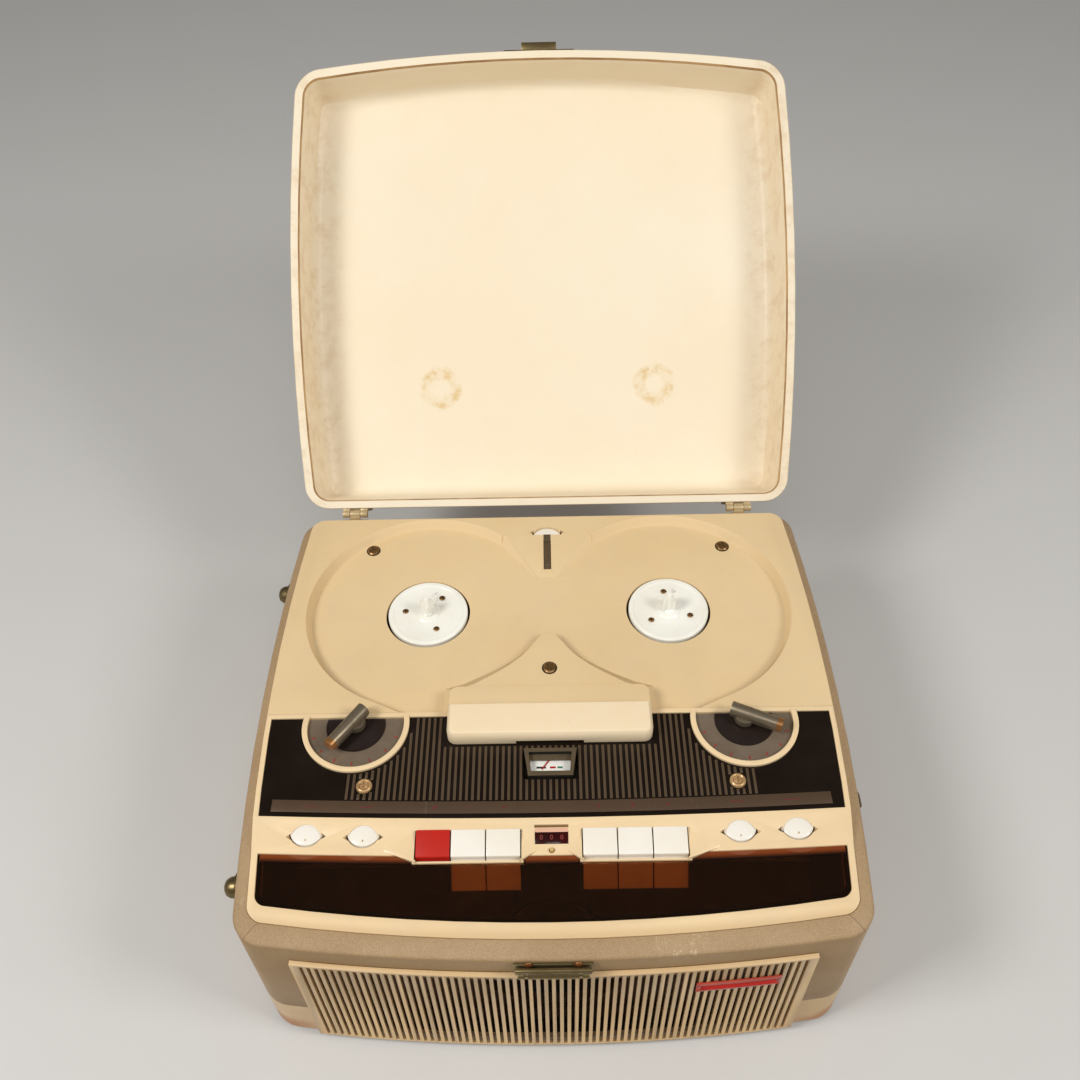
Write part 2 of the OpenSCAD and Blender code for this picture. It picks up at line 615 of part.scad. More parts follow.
module control_frame() color([0.94, 0.85, 0.66]) difference() {
    union() {
        difference() {
            intersection() {
                bowed_bar([[split_y - fit, frame_z, 0], [split_y - fit, deck_z, 0], [strip_y, deck_z, 1],
                    [strip_y - strip_run, front_z, 1], [-y_back - 20, front_z, 1], [-y_back - 20, frame_z, 1]],
                    case_w * 0.6);
                union() {
                    slab(deck_inset, seat_z, deck_z + 1, deck_front);
                    slab(wall + fit, frame_z, seat_z, deck_front);
                }
            }
            intersection() {
                slab(deck_inset + side_rim, 0, 2 * deck_z, deck_front);
                band(panel_y - border, -strip_flat, panel_top - panel_t, deck_z + 5);
            }
            intersection() {
                slab(deck_inset + side_rim + ledge, 0, 2 * deck_z, deck_front);
                band(panel_y - border - ledge, -strip_flat - ledge, 0, deck_z);
            }
            front_space(0, smoked_top - smoked_t, deck_z);
            front_space(ledge, 0, deck_z);
            bowed_bar([[strip_y + 9, 0, 1], [strip_y + 9, panel_top - panel_t - ledge, 1],
                [strip_y + 1, panel_top - panel_t - ledge, 1], [strip_y, deck_z - 3, 1],
                [strip_y - strip_run + 3, front_z - 2.3, 1], [strip_y - strip_run + 3, 0, 1]], case_w / 2 - 20);
            dial_part(dial_in, frame_z - 1, 30);
        }
        for (s = [-1, 1]) translate([s * bank_x - bank_hw - lip_w, bank_front - lip_w, smoked_top - smoked_t])
            cube([2 * bank_hw + 2 * lip_w, bank_back - bank_front + lip_w - 4, front_z - smoked_top + smoked_t]);
        difference() {
            dial_part(dial_r, panel_top - panel_t - 1, panel_t + 2.6, 1);
            for (s = [-1, 1]) translate([s * dial_x, dial_y, 0]) cylinder(h = 2 * deck_z, r = dial_in);
        }
        for (t = [0, 1]) mirror([t, 0, 0]) {
            translate([bank_x + bank_hw, 0, 0]) gusset(20);
            translate([bank_x - bank_hw, 0, 0]) mirror([1, 0, 0]) gusset(11);
        }
    }
    for (s = [-1, 1]) {
        translate([s * bank_x - bank_hw, bank_front, 0]) cube([2 * bank_hw, bank_back - bank_front, 2 * deck_z]);
        for (x = [wheel_near, wheel_far]) translate([s * x, strip_at(x, wheel_ahead), 0]) {
            domed(wheel_r + wheel_gap, gap);
            ears(wheel_r, -5, wheel_z);
        }
        translate([s * dial_x, dial_y, 0]) {
            cylinder(h = dial_z + fit, r = 9);
            cylinder(h = 2 * deck_z, r = 3 + gap);
        }
    }
    translate([-10.8, counter_y - 4.2, 0]) cube([21.6, 8.4, 2 * deck_z]);
    translate([-11, strip_at(0, 4.5) - 1, strip_top(4.5) - 1]) cube([22, 2, 5]);
    translate([0, button_y, 0]) cylinder(h = 2 * deck_z, r = 1.3 + gap);
    translate([-head_hw, panel_y - 40, 0]) cube([2 * head_hw, 50, 2 * deck_z]);
}

// Small facet that leads from the strip up to the side of a key bank, w wide
module gusset(w) polyhedron([
    [-1, strip_at(bank_x, 2), strip_top(2) - 1.2], [-1, bank_front - lip_w, front_z + 2.2],
    [w, strip_at(bank_x, strip_run - 3), strip_top(strip_run - 3) - 0.1],
    [-1, bank_front - lip_w, smoked_top + fit]], [[0, 2, 1], [0, 1, 3], [0, 3, 2], [1, 2, 3]]);

// Discs at the dials, cut off o behind the front of the rear border
module dial_part(r, z, h, o = 0) for (s = [-1, 1]) translate([s * dial_x, dial_y, z]) intersection() {
    cylinder(h = h, r = r);
    translate([-dial_r, -dial_r, 0]) cube([2 * dial_r, dial_r + panel_y - border - dial_y + o, h]);
}

// Space of the smoked panel, drawn in by i
module front_space(i, z0, z1) intersection() {
    slab(deck_inset + side_rim + i, z0, z1, deck_front + 2 * (front_rim - side_rim));
    translate([0, 0, z0]) linear_extrude(z1 - z0) polygon(concat(
        [for (k = [-10:10]) [k * case_w / 18, strip_at(k * case_w / 18, strip_run + strip_nose + i)]],
        [[case_w, -2 * case_d], [-case_w, -2 * case_d]]));
}

module ribbed_panel() color([0.1, 0.07, 0.05]) difference() {
    union() {
        intersection() {
            slab(deck_inset + side_rim + fit, 0, 2 * deck_z, deck_front);
            band(panel_y - border - fit, -strip_flat - fit, panel_top - panel_t, panel_top);
        }
        difference() {
            for (k = [0:rib_n - 1]) {
                x = (k - (rib_n - 1) / 2) * 2 * (dial_x + 12) / (rib_n - 1);
                y0 = strip_at(x, -14);
                translate([x - 1, y0, panel_top - 0.1]) cube([2, panel_y - border - 1 - y0, rib_h + 0.1]);
            }
            for (s = [-1, 1]) {
                translate([s * dial_x, dial_y, 0]) cylinder(h = 2 * deck_z, r = dial_r + 1.2);
                translate([s * (dial_x - 10.5), panel_y - 54.5, 0]) cylinder(h = 2 * deck_z, r = 7);
            }
            translate([-cover_hw - 1.5, cover_back - cover_d - 1.5, 0]) cube([2 * cover_hw + 3, 60, 2 * deck_z]);
        }
    }
    for (s = [-1, 1]) translate([s * dial_x, dial_y, 0]) cylinder(h = 2 * deck_z, r = dial_r + fit);
    translate([-head_hw, cover_back - cover_d + 2.5, 0]) cube([2 * head_hw, 60, 2 * deck_z]);
    translate([-18 - fit, meter_y - 11, 0]) cube([36 + 2 * fit, 22, 2 * deck_z]);
}
meter_y = panel_y - 40;

module smoked_panel() color([0.2, 0.09, 0.05]) difference() {
    front_space(fit, smoked_top - smoked_t, smoked_top);
    for (s = [-1, 1]) translate([s * bank_x - bank_hw - lip_w - fit, bank_front - lip_w - fit, 0])
        cube([2 * (bank_hw + lip_w + fit), 40, 2 * deck_z]);
}

module dial_plates() color([0.4, 0.36, 0.32]) difference() {
    dial_part(dial_in - fit, dial_z, 1.4, -fit);
    for (s = [-1, 1]) translate([s * dial_x, dial_y, 0]) cylinder(h = 2 * deck_z, r = 3.5);
}

needle_y = meter_y + 5;

module meter_bezel() color([0.12, 0.11, 0.1]) {
    difference() {
        translate([0, meter_y, panel_top - 5]) linear_extrude(9) polygon([[-18, 10.5], [18, 10.5], [15, -10.5], [-15, -10.5]]);
        translate([0, meter_y, panel_top - 1.5]) linear_extrude(9) polygon([[-14.5, 7.5], [14.5, 7.5], [13, -7], [-13, -7]]);
    }
    translate([0, needle_y, panel_top - 1.6]) cylinder(h = 2.1, r = 0.6);
}

module meter_needle() color([0.7, 0.1, 0.08]) translate([0, needle_y, panel_top - 1.1]) rotate([0, 0, -35]) difference() {
    union() {
        cylinder(h = 0.9, r = 1.6);
        translate([-0.35, -10, 0]) cube([0.7, 9.5, 0.7]);
    }
    translate([0, 0, -1]) cylinder(h = 5, r = 0.6 + run);
}

drum_r = 5.8;
drum_z = deck_z - 11.2;

module counter_housing() color([0.2, 0.19, 0.18]) {
    for (s = [-1, 1]) translate([s * 13.2 - 1, counter_y - 6, chassis_top]) cube([2, 13, drum_z + 3 - chassis_top]);
    translate([-13, counter_y - 6, chassis_top]) cube([26, 13, 2]);
    along_x(-13, counter_y, drum_z) cylinder(h = 26, r = 1.2);
    for (x = [-10.4, -3.4]) along_x(x, counter_y, drum_z) cylinder(h = 6.6, r = drum_r);
}

module counter_drum() color([0.12, 0.1, 0.1]) difference() {
    along_x(3.7, counter_y, drum_z) cylinder(h = 6.6, r = drum_r);
    along_x(0, counter_y, drum_z) cylinder(h = 20, r = 1.2 + run);
}

module counter_button() color([0.85, 0.75, 0.55]) translate([0, button_y, deck_z - 12])
    cylinder(h = strip_top(19.6) + 1.6 - deck_z + 12, r = 1.3);

head_plate = [122, 38, 2];
head_x = -58;

module tape_heads() color([0.66, 0.66, 0.68]) {
    difference() {
        translate([head_x, cover_back - 24, head_base]) cube(head_plate);
        translate([capstan.x, capstan.y, head_base - 1]) cylinder(h = 5, r = 4);
    }
    for (p = [[-50, cover_back - 19], [-50, cover_back + 9], [56, cover_back - 19]])
        translate([p.x, p.y, chassis_top]) cylinder(h = head_base - chassis_top + 0.1, r = 4);
    for (x = [-30, 0]) translate([x - 6, cover_back - 11, head_base + 1.9]) cube([12, 10, 16]);
    for (x = [-48, 48]) translate([x, cover_back - 2, head_base + 1.9]) cylinder(h = 17, r = 2);
    translate([arm_pivot.x, arm_pivot.y, head_base + 1.9]) cylinder(h = 6, r = 2);
}

arm_z = head_base + 2.3;
roller_z = arm_z + 2.8;

module pinch_arm() color([0.6, 0.6, 0.58]) difference() {
    union() {
        for (p = [arm_pivot, roller_at]) translate([p.x, p.y, arm_z]) cylinder(h = 2.5, r = 4);
        translate([roller_at.x, roller_at.y - 3, arm_z]) cube([arm_pivot.x - roller_at.x, 6, 2.5]);
        translate([roller_at.x, roller_at.y, arm_z]) cylinder(h = 13, r = 1.5);
    }
    translate([arm_pivot.x, arm_pivot.y, arm_z - 1]) cylinder(h = 10, r = 2 + run);
}

module pinch_roller() color([0.15, 0.14, 0.14]) translate([roller_at.x, roller_at.y, roller_z]) difference() {
    cylinder(h = 9.5, r = roller_r);
    translate([0, 0, -1]) cylinder(h = 20, r = 1.5 + run);
}

module bearing_bushes() color([0.72, 0.58, 0.3]) {
    on_hubs() bush(4, 7, 11, 14, 12);
    translate([capstan.x, capstan.y, 0]) bush(capstan_r, 6, 9, 12, 12);
}

module bush(r, ro, rf, down, up) difference() {
    union() {
        translate([0, 0, chassis_z - down]) cylinder(h = down + chassis_t + up, r = ro - 0.02);
        translate([0, 0, chassis_top]) cylinder(h = 3, r = rf);
    }
    translate([0, 0, chassis_z - 30]) cylinder(h = 80, r = r + run);
}

module spool_shaft() color([0.7, 0.7, 0.72]) {
    translate([0, 0, chassis_z - 18]) cylinder(h = hub_top - hub_t - chassis_z + 18, r = 4);
    translate([0, 0, chassis_top + 12.3]) cylinder(h = hub_top - hub_t - chassis_top - 12.3, r = 6.5);
    translate([0, 0, chassis_z - 21.5]) cylinder(h = 7.2, r = 20);
}

module spool_shaft_l() translate([-hub_x, hub_y, 0]) spool_shaft();
module spool_shaft_r() translate([hub_x, hub_y, 0]) spool_shaft();

module turntable(turn) color([0.95, 0.94, 0.9]) {
    b = hub_top - hub_t;
    rotate_extrude() polygon([[0, b], [hub_r - 2, b], [hub_r, b + 1.5], [hub_r, hub_top - 0.6], [hub_r - 0.6, hub_top],
        [hub_r - 3.5, hub_top], [hub_r - 4.2, hub_top - 0.5], [9.5, hub_top - 0.5], [8, hub_top + 0.6], [4.5, hub_top + 1],
        [spindle_r, hub_top + 2], [spindle_r, hub_top + spindle_h - 3], [1.8, hub_top + spindle_h], [0, hub_top + spindle_h]]);
    for (k = [0:2]) rotate([0, 0, turn + 120 * k]) translate([0, 1, hub_top]) rotate([90, 0, 0]) linear_extrude(2)
        polygon([[0, 0], [6, 0], [5.2, 2.5], [5.2, spindle_h - 6], [2.5, spindle_h - 2.2], [0, spindle_h - 2.2]]);
}

module turntable_l() translate([-hub_x, hub_y, 0]) turntable(hub_turns[0]);
module turntable_r() translate([hub_x, hub_y, 0]) turntable(hub_turns[1]);

module flywheel() color([0.55, 0.55, 0.58]) translate([capstan.x, capstan.y, 0]) {
    rotate_extrude() polygon([[0, drive_z], [flywheel_r, drive_z], [flywheel_r, drive_z + flywheel_t],
        [flywheel_r - 8, drive_z + flywheel_t], [flywheel_r - 8, drive_z + 5], [10, drive_z + 5],
        [10, chassis_z - 12 - fit], [0, chassis_z - 12 - fit]]);
    translate([0, 0, drive_z - 4]) cylinder(h = deck_z + 7 - drive_z + 4, r = capstan_r);
}

motor_top = drive_z - 4;
motor_h = 62;

module drive_motor() color([0.45, 0.46, 0.48]) translate([motor_at.x, motor_at.y, 0]) difference() {
    union() {
        translate([0, 0, motor_top - motor_h]) cylinder(h = motor_h, r = motor_r);
        translate([0, 0, motor_top - 0.1]) cylinder(h = 2.1, r = motor_r + 4);
        for (a = [100, 180, 260]) rotate([0, 0, a]) translate([motor_r - 1, 0, motor_top])
            cylinder(h = chassis_z - motor_top, r = 4);
    }
    translate([0, 0, motor_top - 40]) cylinder(h = 60, r = 3 + run);
}

module motor_pulley() color([0.7, 0.6, 0.35]) translate([motor_at.x, motor_at.y, 0]) {
    translate([0, 0, motor_top - 30]) cylinder(h = 40, r = 3);
    translate([0, 0, drive_z + 1]) cylinder(h = pulley_top - drive_z - 1, r = pulley_r);
}

// Points of a belt round the pulley and the flywheel, o outside their rims
function belt_line(o) =
    let (v = capstan - motor_at, d = norm(v), w = atan2(v.y, v.x), t = acos((pulley_r - flywheel_r) / d))
    concat([for (k = [0:20]) let (a = w + t + (360 - 2 * t) * k / 20) motor_at + (pulley_r + o) * [cos(a), sin(a)]],
        [for (k = [0:60]) let (a = w - t + 2 * t * k / 60) capstan + (flywheel_r + o) * [cos(a), sin(a)]]);

module drive_belt() color([0.13, 0.12, 0.12]) translate([0, 0, drive_z + 4]) linear_extrude(6) difference() {
    polygon(belt_line(1.7));
    polygon(belt_line(0.4));
}

amp_at = [case_w * 0.191, case_d * 0.057];
amp_w = case_w * 0.229;
amp_d = case_d * 0.34;
amp_z = deck_z * 0.395;
amp_top = amp_z + 1.9;
post_in = 6;

module amplifier_board() color([0.5, 0.38, 0.2]) translate([amp_at.x, amp_at.y, 0]) {
    translate([0, 0, amp_z]) cube([amp_w, amp_d, 2]);
    for (x = [post_in, amp_w - post_in], y = [post_in, amp_d - post_in])
        translate([x, y, base_z]) cylinder(h = amp_z - base_z + 0.5, r = 3.5);
    for (k = [1:4]) translate([k * amp_w / 5, amp_d / 6, amp_top]) cylinder(h = 26, r = amp_w / 15);
    for (k = [0:2]) translate([(0.17 + 0.27 * k) * amp_w, 0.42 * amp_d, amp_top])
        cube([amp_w * 0.18, amp_d * 0.18, 12]);
    for (k = [1:5]) translate([k * amp_w / 6, amp_d * 0.77, amp_top]) cylinder(h = 9, r = amp_w / 22);
}

core_w = case_w * 0.132;
core_at = [-case_w * 0.369, case_d * 0.266];

module mains_transformer() color([0.35, 0.34, 0.33]) translate([core_at.x, core_at.y, base_z]) {
    translate([-5, -10, 0]) cube([core_w + 10, 50, 3]);
    translate([0, 0, 2.9]) cube([core_w, 30, core_w * 0.88]);
    translate([core_w / 5, -8, 11]) cube([core_w * 0.6, 46, core_w * 0.58]);
}

rod_hw = bank_x + 1.5 * key_pitch + 4;

module key_rod() color([0.68, 0.69, 0.7]) {
    along_x(-rod_hw - 2, rod_y, rod_z) cylinder(h = 2 * rod_hw + 4, r = rod_r);
    for (x = [-rod_hw, 0, rod_hw]) translate([x - 2, rod_y - 6, chassis_top]) cube([4, 12, rod_z - chassis_top + 5]);
}

module rotary_controls() color([0.5, 0.5, 0.5]) {
    for (s = [-1, 1]) {
        for (x = [wheel_near, wheel_far]) translate([s * x, strip_at(x, wheel_ahead), 0])
            rotary_body(11, 9, 6, wheel_z - 1.2, 3);
        translate([s * dial_x, dial_y, 0]) rotary_body(15, 16, 8, dial_z, 3);
    }
    translate([speed_at.x, speed_at.y, 0]) rotary_body(10, 14, 5, speed_z - gap, 2.5);
}

module rotary_body(r, h, rb, top, rs) difference() {
    union() {
        translate([0, 0, chassis_top]) cylinder(h = h, r = r);
        translate([0, 0, chassis_top]) cylinder(h = top - chassis_top, r = rb);
    }
    translate([0, 0, chassis_top + 2]) cylinder(h = 60, r = rs + run);
}

module key_piece(x) {
    translate([x - key_w / 2, 0, 0]) rotate([90, 0, 90]) linear_extrude(key_w) polygon([
        [key_top, deck_z + 0.9], [key_top, deck_z - 3.5], [key_front + 2.5, deck_z - 7.7], [key_front - 12, deck_z - 26],
        [key_front - 13.4, deck_z - 25.2], [key_front, deck_z - 7.5], [key_front, deck_z - 3.6]]);
    difference() {
        union() {
            translate([x - 4, 0, 0]) rotate([90, 0, 90]) linear_extrude(8) polygon([
                [key_top - 2, deck_z - 3], [key_top - 14, deck_z - 6], [rod_y, rod_z - 6], [rod_y, rod_z + 6],
                [key_top + 0.3, deck_z - 5.4]]);
            along_x(x - 4, rod_y, rod_z) cylinder(h = 8, r = 6);
        }
        along_x(x - 20, rod_y, rod_z) cylinder(h = 40, r = rod_r + run);
    }
}

white = [0.96, 0.94, 0.89];
module record_key() color([0.75, 0.17, 0.12]) key_piece(-bank_x - key_pitch);
module pause_key() color(white) key_piece(-bank_x);
module play_key() color(white) key_piece(-bank_x + key_pitch);
module rewind_key() color(white) key_piece(bank_x - key_pitch);
module stop_key() color(white) key_piece(bank_x);
module forward_key() color(white) key_piece(bank_x + key_pitch);

// Round post with the domed top of a thumbwheel, o larger than the wheel's own
module domed(r, o) intersection() {
    cylinder(h = wheel_top + o, r = r);
    translate([0, 0, wheel_top - wheel_dome]) sphere(r = wheel_dome + o);
}

// Inverted cup on a shaft; the lower edge of its drum shows through the smoked panel
module thumbwheel(x) color(white) translate([x, strip_at(x, wheel_ahead), 0]) {
    difference() {
        domed(wheel_r, 0);
        cylinder(h = wheel_z + wheel_t - wheel_h, r = 2 * wheel_r);
        cylinder(h = wheel_z, r = wheel_r - 2.2);
    }
    translate([0, 0, chassis_top + 3]) cylinder(h = wheel_z - chassis_top - 2.9, r = 3);
}

module volume_wheel() thumbwheel(-wheel_far);
module tone_wheel() thumbwheel(-wheel_near);
module monitor_wheel() thumbwheel(wheel_near);
module balance_wheel() thumbwheel(wheel_far);

// Selector with a cap that fills speed_span to each side of the rear
module speed_wheel() color(white) translate([speed_at.x, speed_at.y, 0]) {
    translate([0, 0, speed_z]) {
        intersection() {
            cylinder(h = speed_t, r = speed_r);
            translate([0, 0, -1]) linear_extrude(2 * speed_t) polygon(2 * speed_r * [[0, 0],
                [sin(speed_span), cos(speed_span)], [0, 2], [-sin(speed_span), cos(speed_span)]]);
        }
        cylinder(h = speed_foot, r = 5);
    }
    translate([0, 0, chassis_top + 3]) cylinder(h = speed_z - chassis_top - 2.9, r = 2.5);
}

knob_r = 4.6;
knob_z = dial_z + 7;

// Bar knob with a round back, tapered towards its pointing end
module lever_knob(x, turn) color([0.72, 0.71, 0.69]) translate([x, dial_y, 0]) {
    translate([0, 0, chassis_top + 3]) cylinder(h = deck_z - chassis_top, r = 3);
    translate([0, 0, deck_z + gap]) cylinder(h = 5, r = 7);
    rotate([0, 0, turn]) {
        along_x(-10, 0, knob_z + 4) cylinder(h = knob_len, r1 = knob_r + 0.4, r2 = knob_r - 0.4);
        translate([-10, 0.6 - knob_r, knob_z]) cube([knob_len - 1.5, 2 * knob_r - 1.2, 4]);
    }
}

module lever_knob_l() lever_knob(-dial_x, knob_angles[0]);
module lever_knob_r() lever_knob(dial_x, knob_angles[1]);

case_shell();
plinth_band();
base_panel();
rubber_feet();
baffle_board();
speaker_basket();
speaker_cone();
speaker_grille();
catch_plate();
catch_lever();
side_glides();
handle_brackets();
carry_handle();
case_hinges();
socket_panel();
chassis_plate();
deck_plate();
head_cover();
control_frame();
ribbed_panel();
smoked_panel();
dial_plates();
meter_bezel();
meter_needle();
counter_housing();
counter_drum();
counter_button();
tape_heads();
bearing_bushes();
drive_motor();
drive_belt();
motor_pulley();
flywheel();
pinch_arm();
pinch_roller();
amplifier_board();
mains_transformer();
key_rod();
rotary_controls();
turntable_l();
turntable_r();
spool_shaft_l();
spool_shaft_r();
record_key();
pause_key();
play_key();
rewind_key();
stop_key();
forward_key();
volume_wheel();
tone_wheel();
monitor_wheel();
balance_wheel();
speed_wheel();
lever_knob_l();
lever_knob_r();
lid_shell();
lid_liner();
lid_catch();
lid_hinges();
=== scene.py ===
import json
import math
import bpy
from mathutils import Matrix, Vector


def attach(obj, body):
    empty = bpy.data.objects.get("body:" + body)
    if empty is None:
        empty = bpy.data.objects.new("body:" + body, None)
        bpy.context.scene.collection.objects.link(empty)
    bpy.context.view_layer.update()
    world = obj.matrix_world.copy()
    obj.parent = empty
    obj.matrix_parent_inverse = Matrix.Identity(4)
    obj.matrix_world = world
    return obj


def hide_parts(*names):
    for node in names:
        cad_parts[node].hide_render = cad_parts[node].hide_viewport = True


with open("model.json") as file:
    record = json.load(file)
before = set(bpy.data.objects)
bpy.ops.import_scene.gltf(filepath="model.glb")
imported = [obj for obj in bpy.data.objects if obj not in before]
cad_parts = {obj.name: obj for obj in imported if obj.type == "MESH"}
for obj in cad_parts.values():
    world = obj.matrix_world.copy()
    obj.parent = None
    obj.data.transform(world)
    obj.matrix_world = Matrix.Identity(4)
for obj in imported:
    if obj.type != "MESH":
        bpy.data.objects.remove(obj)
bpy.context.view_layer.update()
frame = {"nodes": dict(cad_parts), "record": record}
nodes = frame["nodes"]
bodyOf = {name: body for body, names in frame["record"]["behaviour"]["bodies"].items() for name in names}
scene = bpy.context.scene
scene.view_settings.view_transform = "Standard"
print("frame loaded:", len(nodes), "solids")

# levels and places shared with the part's source, in millimetres
deck = {"top": 152, "floor": 144, "panel": 151.2, "hubX": 91, "hubY": 83, "hubTop": 145.5, "stripY": -90,
    "stripBow": 4.5, "caseW": 393, "caseD": 353, "frontBow": 14, "dialX": 134, "dialY": -21,
    "dialTop": 150.4, "wheelAhead": 6.4}
wheelPlaces = {"volume": -158, "tone": -121, "monitor": 121, "balance": 158}
hinge = {"y": 188, "z": 145.5, "open": -134.7}
bothSides = {"l": -1, "r": 1}


def mm(x, y, z):
    return Vector((x / 1000, y / 1000, z / 1000))


def moveTo(x, y, z):
    return Matrix.Translation(mm(x, y, z))


def spin(degrees, axis="Z"):
    return Matrix.Rotation(math.radians(degrees), 4, axis)


def between(low, high, share):
    return low + share * (high - low)


def bowShare(x):
    return 1 - (x / (deck["caseW"] / 2)) ** 2


def stripLine(x, ahead):
    return deck["stripY"] - ahead - deck["stripBow"] * bowShare(x)


def frontLine(x):
    return deck["frontBow"] / 2 - deck["caseD"] / 2 - deck["frontBow"] * bowShare(x)


hingeAxis = moveTo(0, hinge["y"], hinge["z"])
lidTurn = hingeAxis @ spin(hinge["open"], "X") @ hingeAxis.inverted()
lidShut = lidTurn.inverted()


# selecting, shaping and finishing
def setMode(mode):
    bpy.ops.object.mode_set(mode=mode)


def only(obj):
    if bpy.context.mode != "OBJECT":
        setMode("OBJECT")
    bpy.ops.object.select_all(action="DESELECT")
    obj.select_set(True)
    bpy.context.view_layer.objects.active = obj


def pickAll():
    bpy.ops.mesh.select_all(action="SELECT")


def pickFaces(obj, wanted):
    only(obj)
    setMode("EDIT")
    bpy.ops.mesh.select_mode(type="FACE")
    bpy.ops.mesh.select_all(action="DESELECT")
    setMode("OBJECT")
    for face in obj.data.polygons:
        face.select = wanted(face.center, face.normal)
    setMode("EDIT")


def paint(obj, finish):
    obj.data.materials.append(finishes[finish])


def repaint(obj, finish, wanted):
    paint(obj, finish)
    for face in obj.data.polygons:
        if wanted(face.center, face.normal):
            face.material_index = 1


def settle(obj, name):
    only(obj)
    bpy.ops.object.transform_apply(location=True, rotation=True, scale=True)
    obj.name = name
    obj.data.name = name
    return obj


def add(name, primitive, **settings):
    primitive(**{"location": (0, 0, 0), **settings})
    return settle(bpy.context.object, name)


def smooth(angle):
    bpy.ops.object.shade_smooth_by_angle(angle=math.radians(angle))


def roundEdges(obj, width, steps=2, angle=32):
    only(obj)
    edge = obj.modifiers.new("edges", "BEVEL")
    edge.width = width / 1000
    edge.segments = steps
    edge.limit_method = "ANGLE"
    edge.angle_limit = math.radians(angle)
    bpy.ops.object.modifier_apply(modifier=edge.name)
    smooth(angle)


def cylinder(name, corners, radius, height, x=0, y=0, z=0):
    # stands on the given point
    return add(name, bpy.ops.mesh.primitive_cylinder_add, vertices=corners, radius=radius / 1000,
        depth=height / 1000, location=mm(x, y, z + height / 2))


def bar(name, size, edge):
    made = add(name, bpy.ops.mesh.primitive_cube_add, size=1, location=mm(0, 0, size[2] / 2),
        scale=mm(*size))
    roundEdges(made, edge, 2, 40)
    return made


def isTop(centre, normal):
    return normal.z > 0.9


def stepTop(obj, steps):
    # insets the upper face and lifts it, once for each pair
    pickFaces(obj, isTop)
    for thickness, lift in steps:
        bpy.ops.mesh.inset(thickness=thickness / 1000)
        bpy.ops.transform.translate(value=mm(0, 0, lift))
    setMode("OBJECT")


def cutBehind(obj, y):
    # takes away what lies behind the given y and closes the cut
    only(obj)
    setMode("EDIT")
    pickAll()
    bpy.ops.mesh.bisect(plane_co=mm(0, y, 0), plane_no=(0, 1, 0), use_fill=True, clear_outer=True)
    setMode("OBJECT")


def dress(obj, finish, body="case"):
    obj.data.materials.clear()
    paint(obj, finish)
    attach(obj, body)
    return obj


def lay(obj, matrix, finish, body="case"):
    obj.data.transform(matrix)
    return dress(obj, finish, body)


def copyOf(obj, name, matrix):
    twin = bpy.data.objects.new(name, obj.data.copy())
    twin.data.transform(matrix)
    scene.collection.objects.link(twin)
    return twin


def discard(obj):
    bpy.data.objects.remove(obj)


def softCopy(name, width=0, steps=2, angle=32):
    piece = bpy.data.objects.new(name + "_soft", nodes[name].data.copy())
    scene.collection.objects.link(piece)
    only(piece)
    bpy.ops.mesh.customdata_custom_splitnormals_clear()
    setMode("EDIT")
    pickAll()
    bpy.ops.mesh.remove_doubles(threshold=0.000002)
    bpy.ops.mesh.dissolve_limited(angle_limit=math.radians(0.4))
    setMode("OBJECT")
    if width:
        roundEdges(piece, width, steps, angle)
    else:
        smooth(angle)
    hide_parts(name)
    return piece


# shader nodes
def linear(red, green, blue):
    shares = [value / 255 for value in (red, green, blue)]
    return tuple(((c + 0.055) / 1.055) ** 2.4 if c > 10 / 255 else c / 12.92 for c in shares) + (1,)


def put(tree, kind, sockets=None, **settings):
    made = tree.nodes.new(kind)
    for key, value in settings.items():
        setattr(made, key, value)
    for key, value in (sockets or {}).items():
        if isinstance(value, bpy.types.NodeSocket):
            tree.links.new(value, made.inputs[key])
        else:
            made.inputs[key].default_value = value
    return made


def calc(tree, operation, *values):
    return put(tree, "ShaderNodeMath", dict(enumerate(values)), operation=operation).outputs[0]


def mul(tree, first, second):
    return calc(tree, "MULTIPLY", first, second)


def sub(tree, first, second):
    return calc(tree, "SUBTRACT", first, second)


def absolute(tree, value):
    return calc(tree, "ABSOLUTE", value)


def spread(tree, value, low, high, toLow=0.0, toHigh=1.0):
    return put(tree, "ShaderNodeMapRange", {"Value": value, "From Min": low, "From Max": high,
        "To Min": toLow, "To Max": toHigh}, interpolation_type="SMOOTHSTEP").outputs[0]


def tint(tree, share, first, second, mode="MIX"):
    return put(tree, "ShaderNodeMix", {0: share, 6: first, 7: second}, data_type="RGBA",
        blend_type=mode).outputs[2]


def stain(tree, colour, mask, share, tone, mode="MIX"):
    return tint(tree, mul(tree, mask, share), colour, linear(*tone), mode)


def stainWith(tree, colour, mask, values):
    return stain(tree, colour, mask, values["share"], values["tint"])


def fade(tree, value, ends):
    return spread(tree, value, ends["from"] / 1000, ends["to"] / 1000)


def place(tree):
    return put(tree, "ShaderNodeTexCoord").outputs["Object"]


def axes(tree):
    return put(tree, "ShaderNodeSeparateXYZ", {0: place(tree)}).outputs


def facing(tree, axis):
    normal = put(tree, "ShaderNodeNewGeometry").outputs["Normal"]
    return put(tree, "ShaderNodeSeparateXYZ", {0: normal}).outputs[axis]


def awayFrom(tree, point, operation="DISTANCE"):
    return put(tree, "ShaderNodeVectorMath", {0: place(tree), 1: point},
        operation=operation).outputs["Value"]


def noise(tree, scale, detail, rough=0.5):
    return put(tree, "ShaderNodeTexNoise", {"Vector": place(tree), "Scale": scale, "Detail": detail,
        "Roughness": rough}).outputs[0]


def bowed(tree, x):
    # 1 at the middle of the case, 0 at its side walls
    return sub(tree, 1.0, calc(tree, "POWER", calc(tree, "DIVIDE", x, deck["caseW"] / 2000), 2.0))


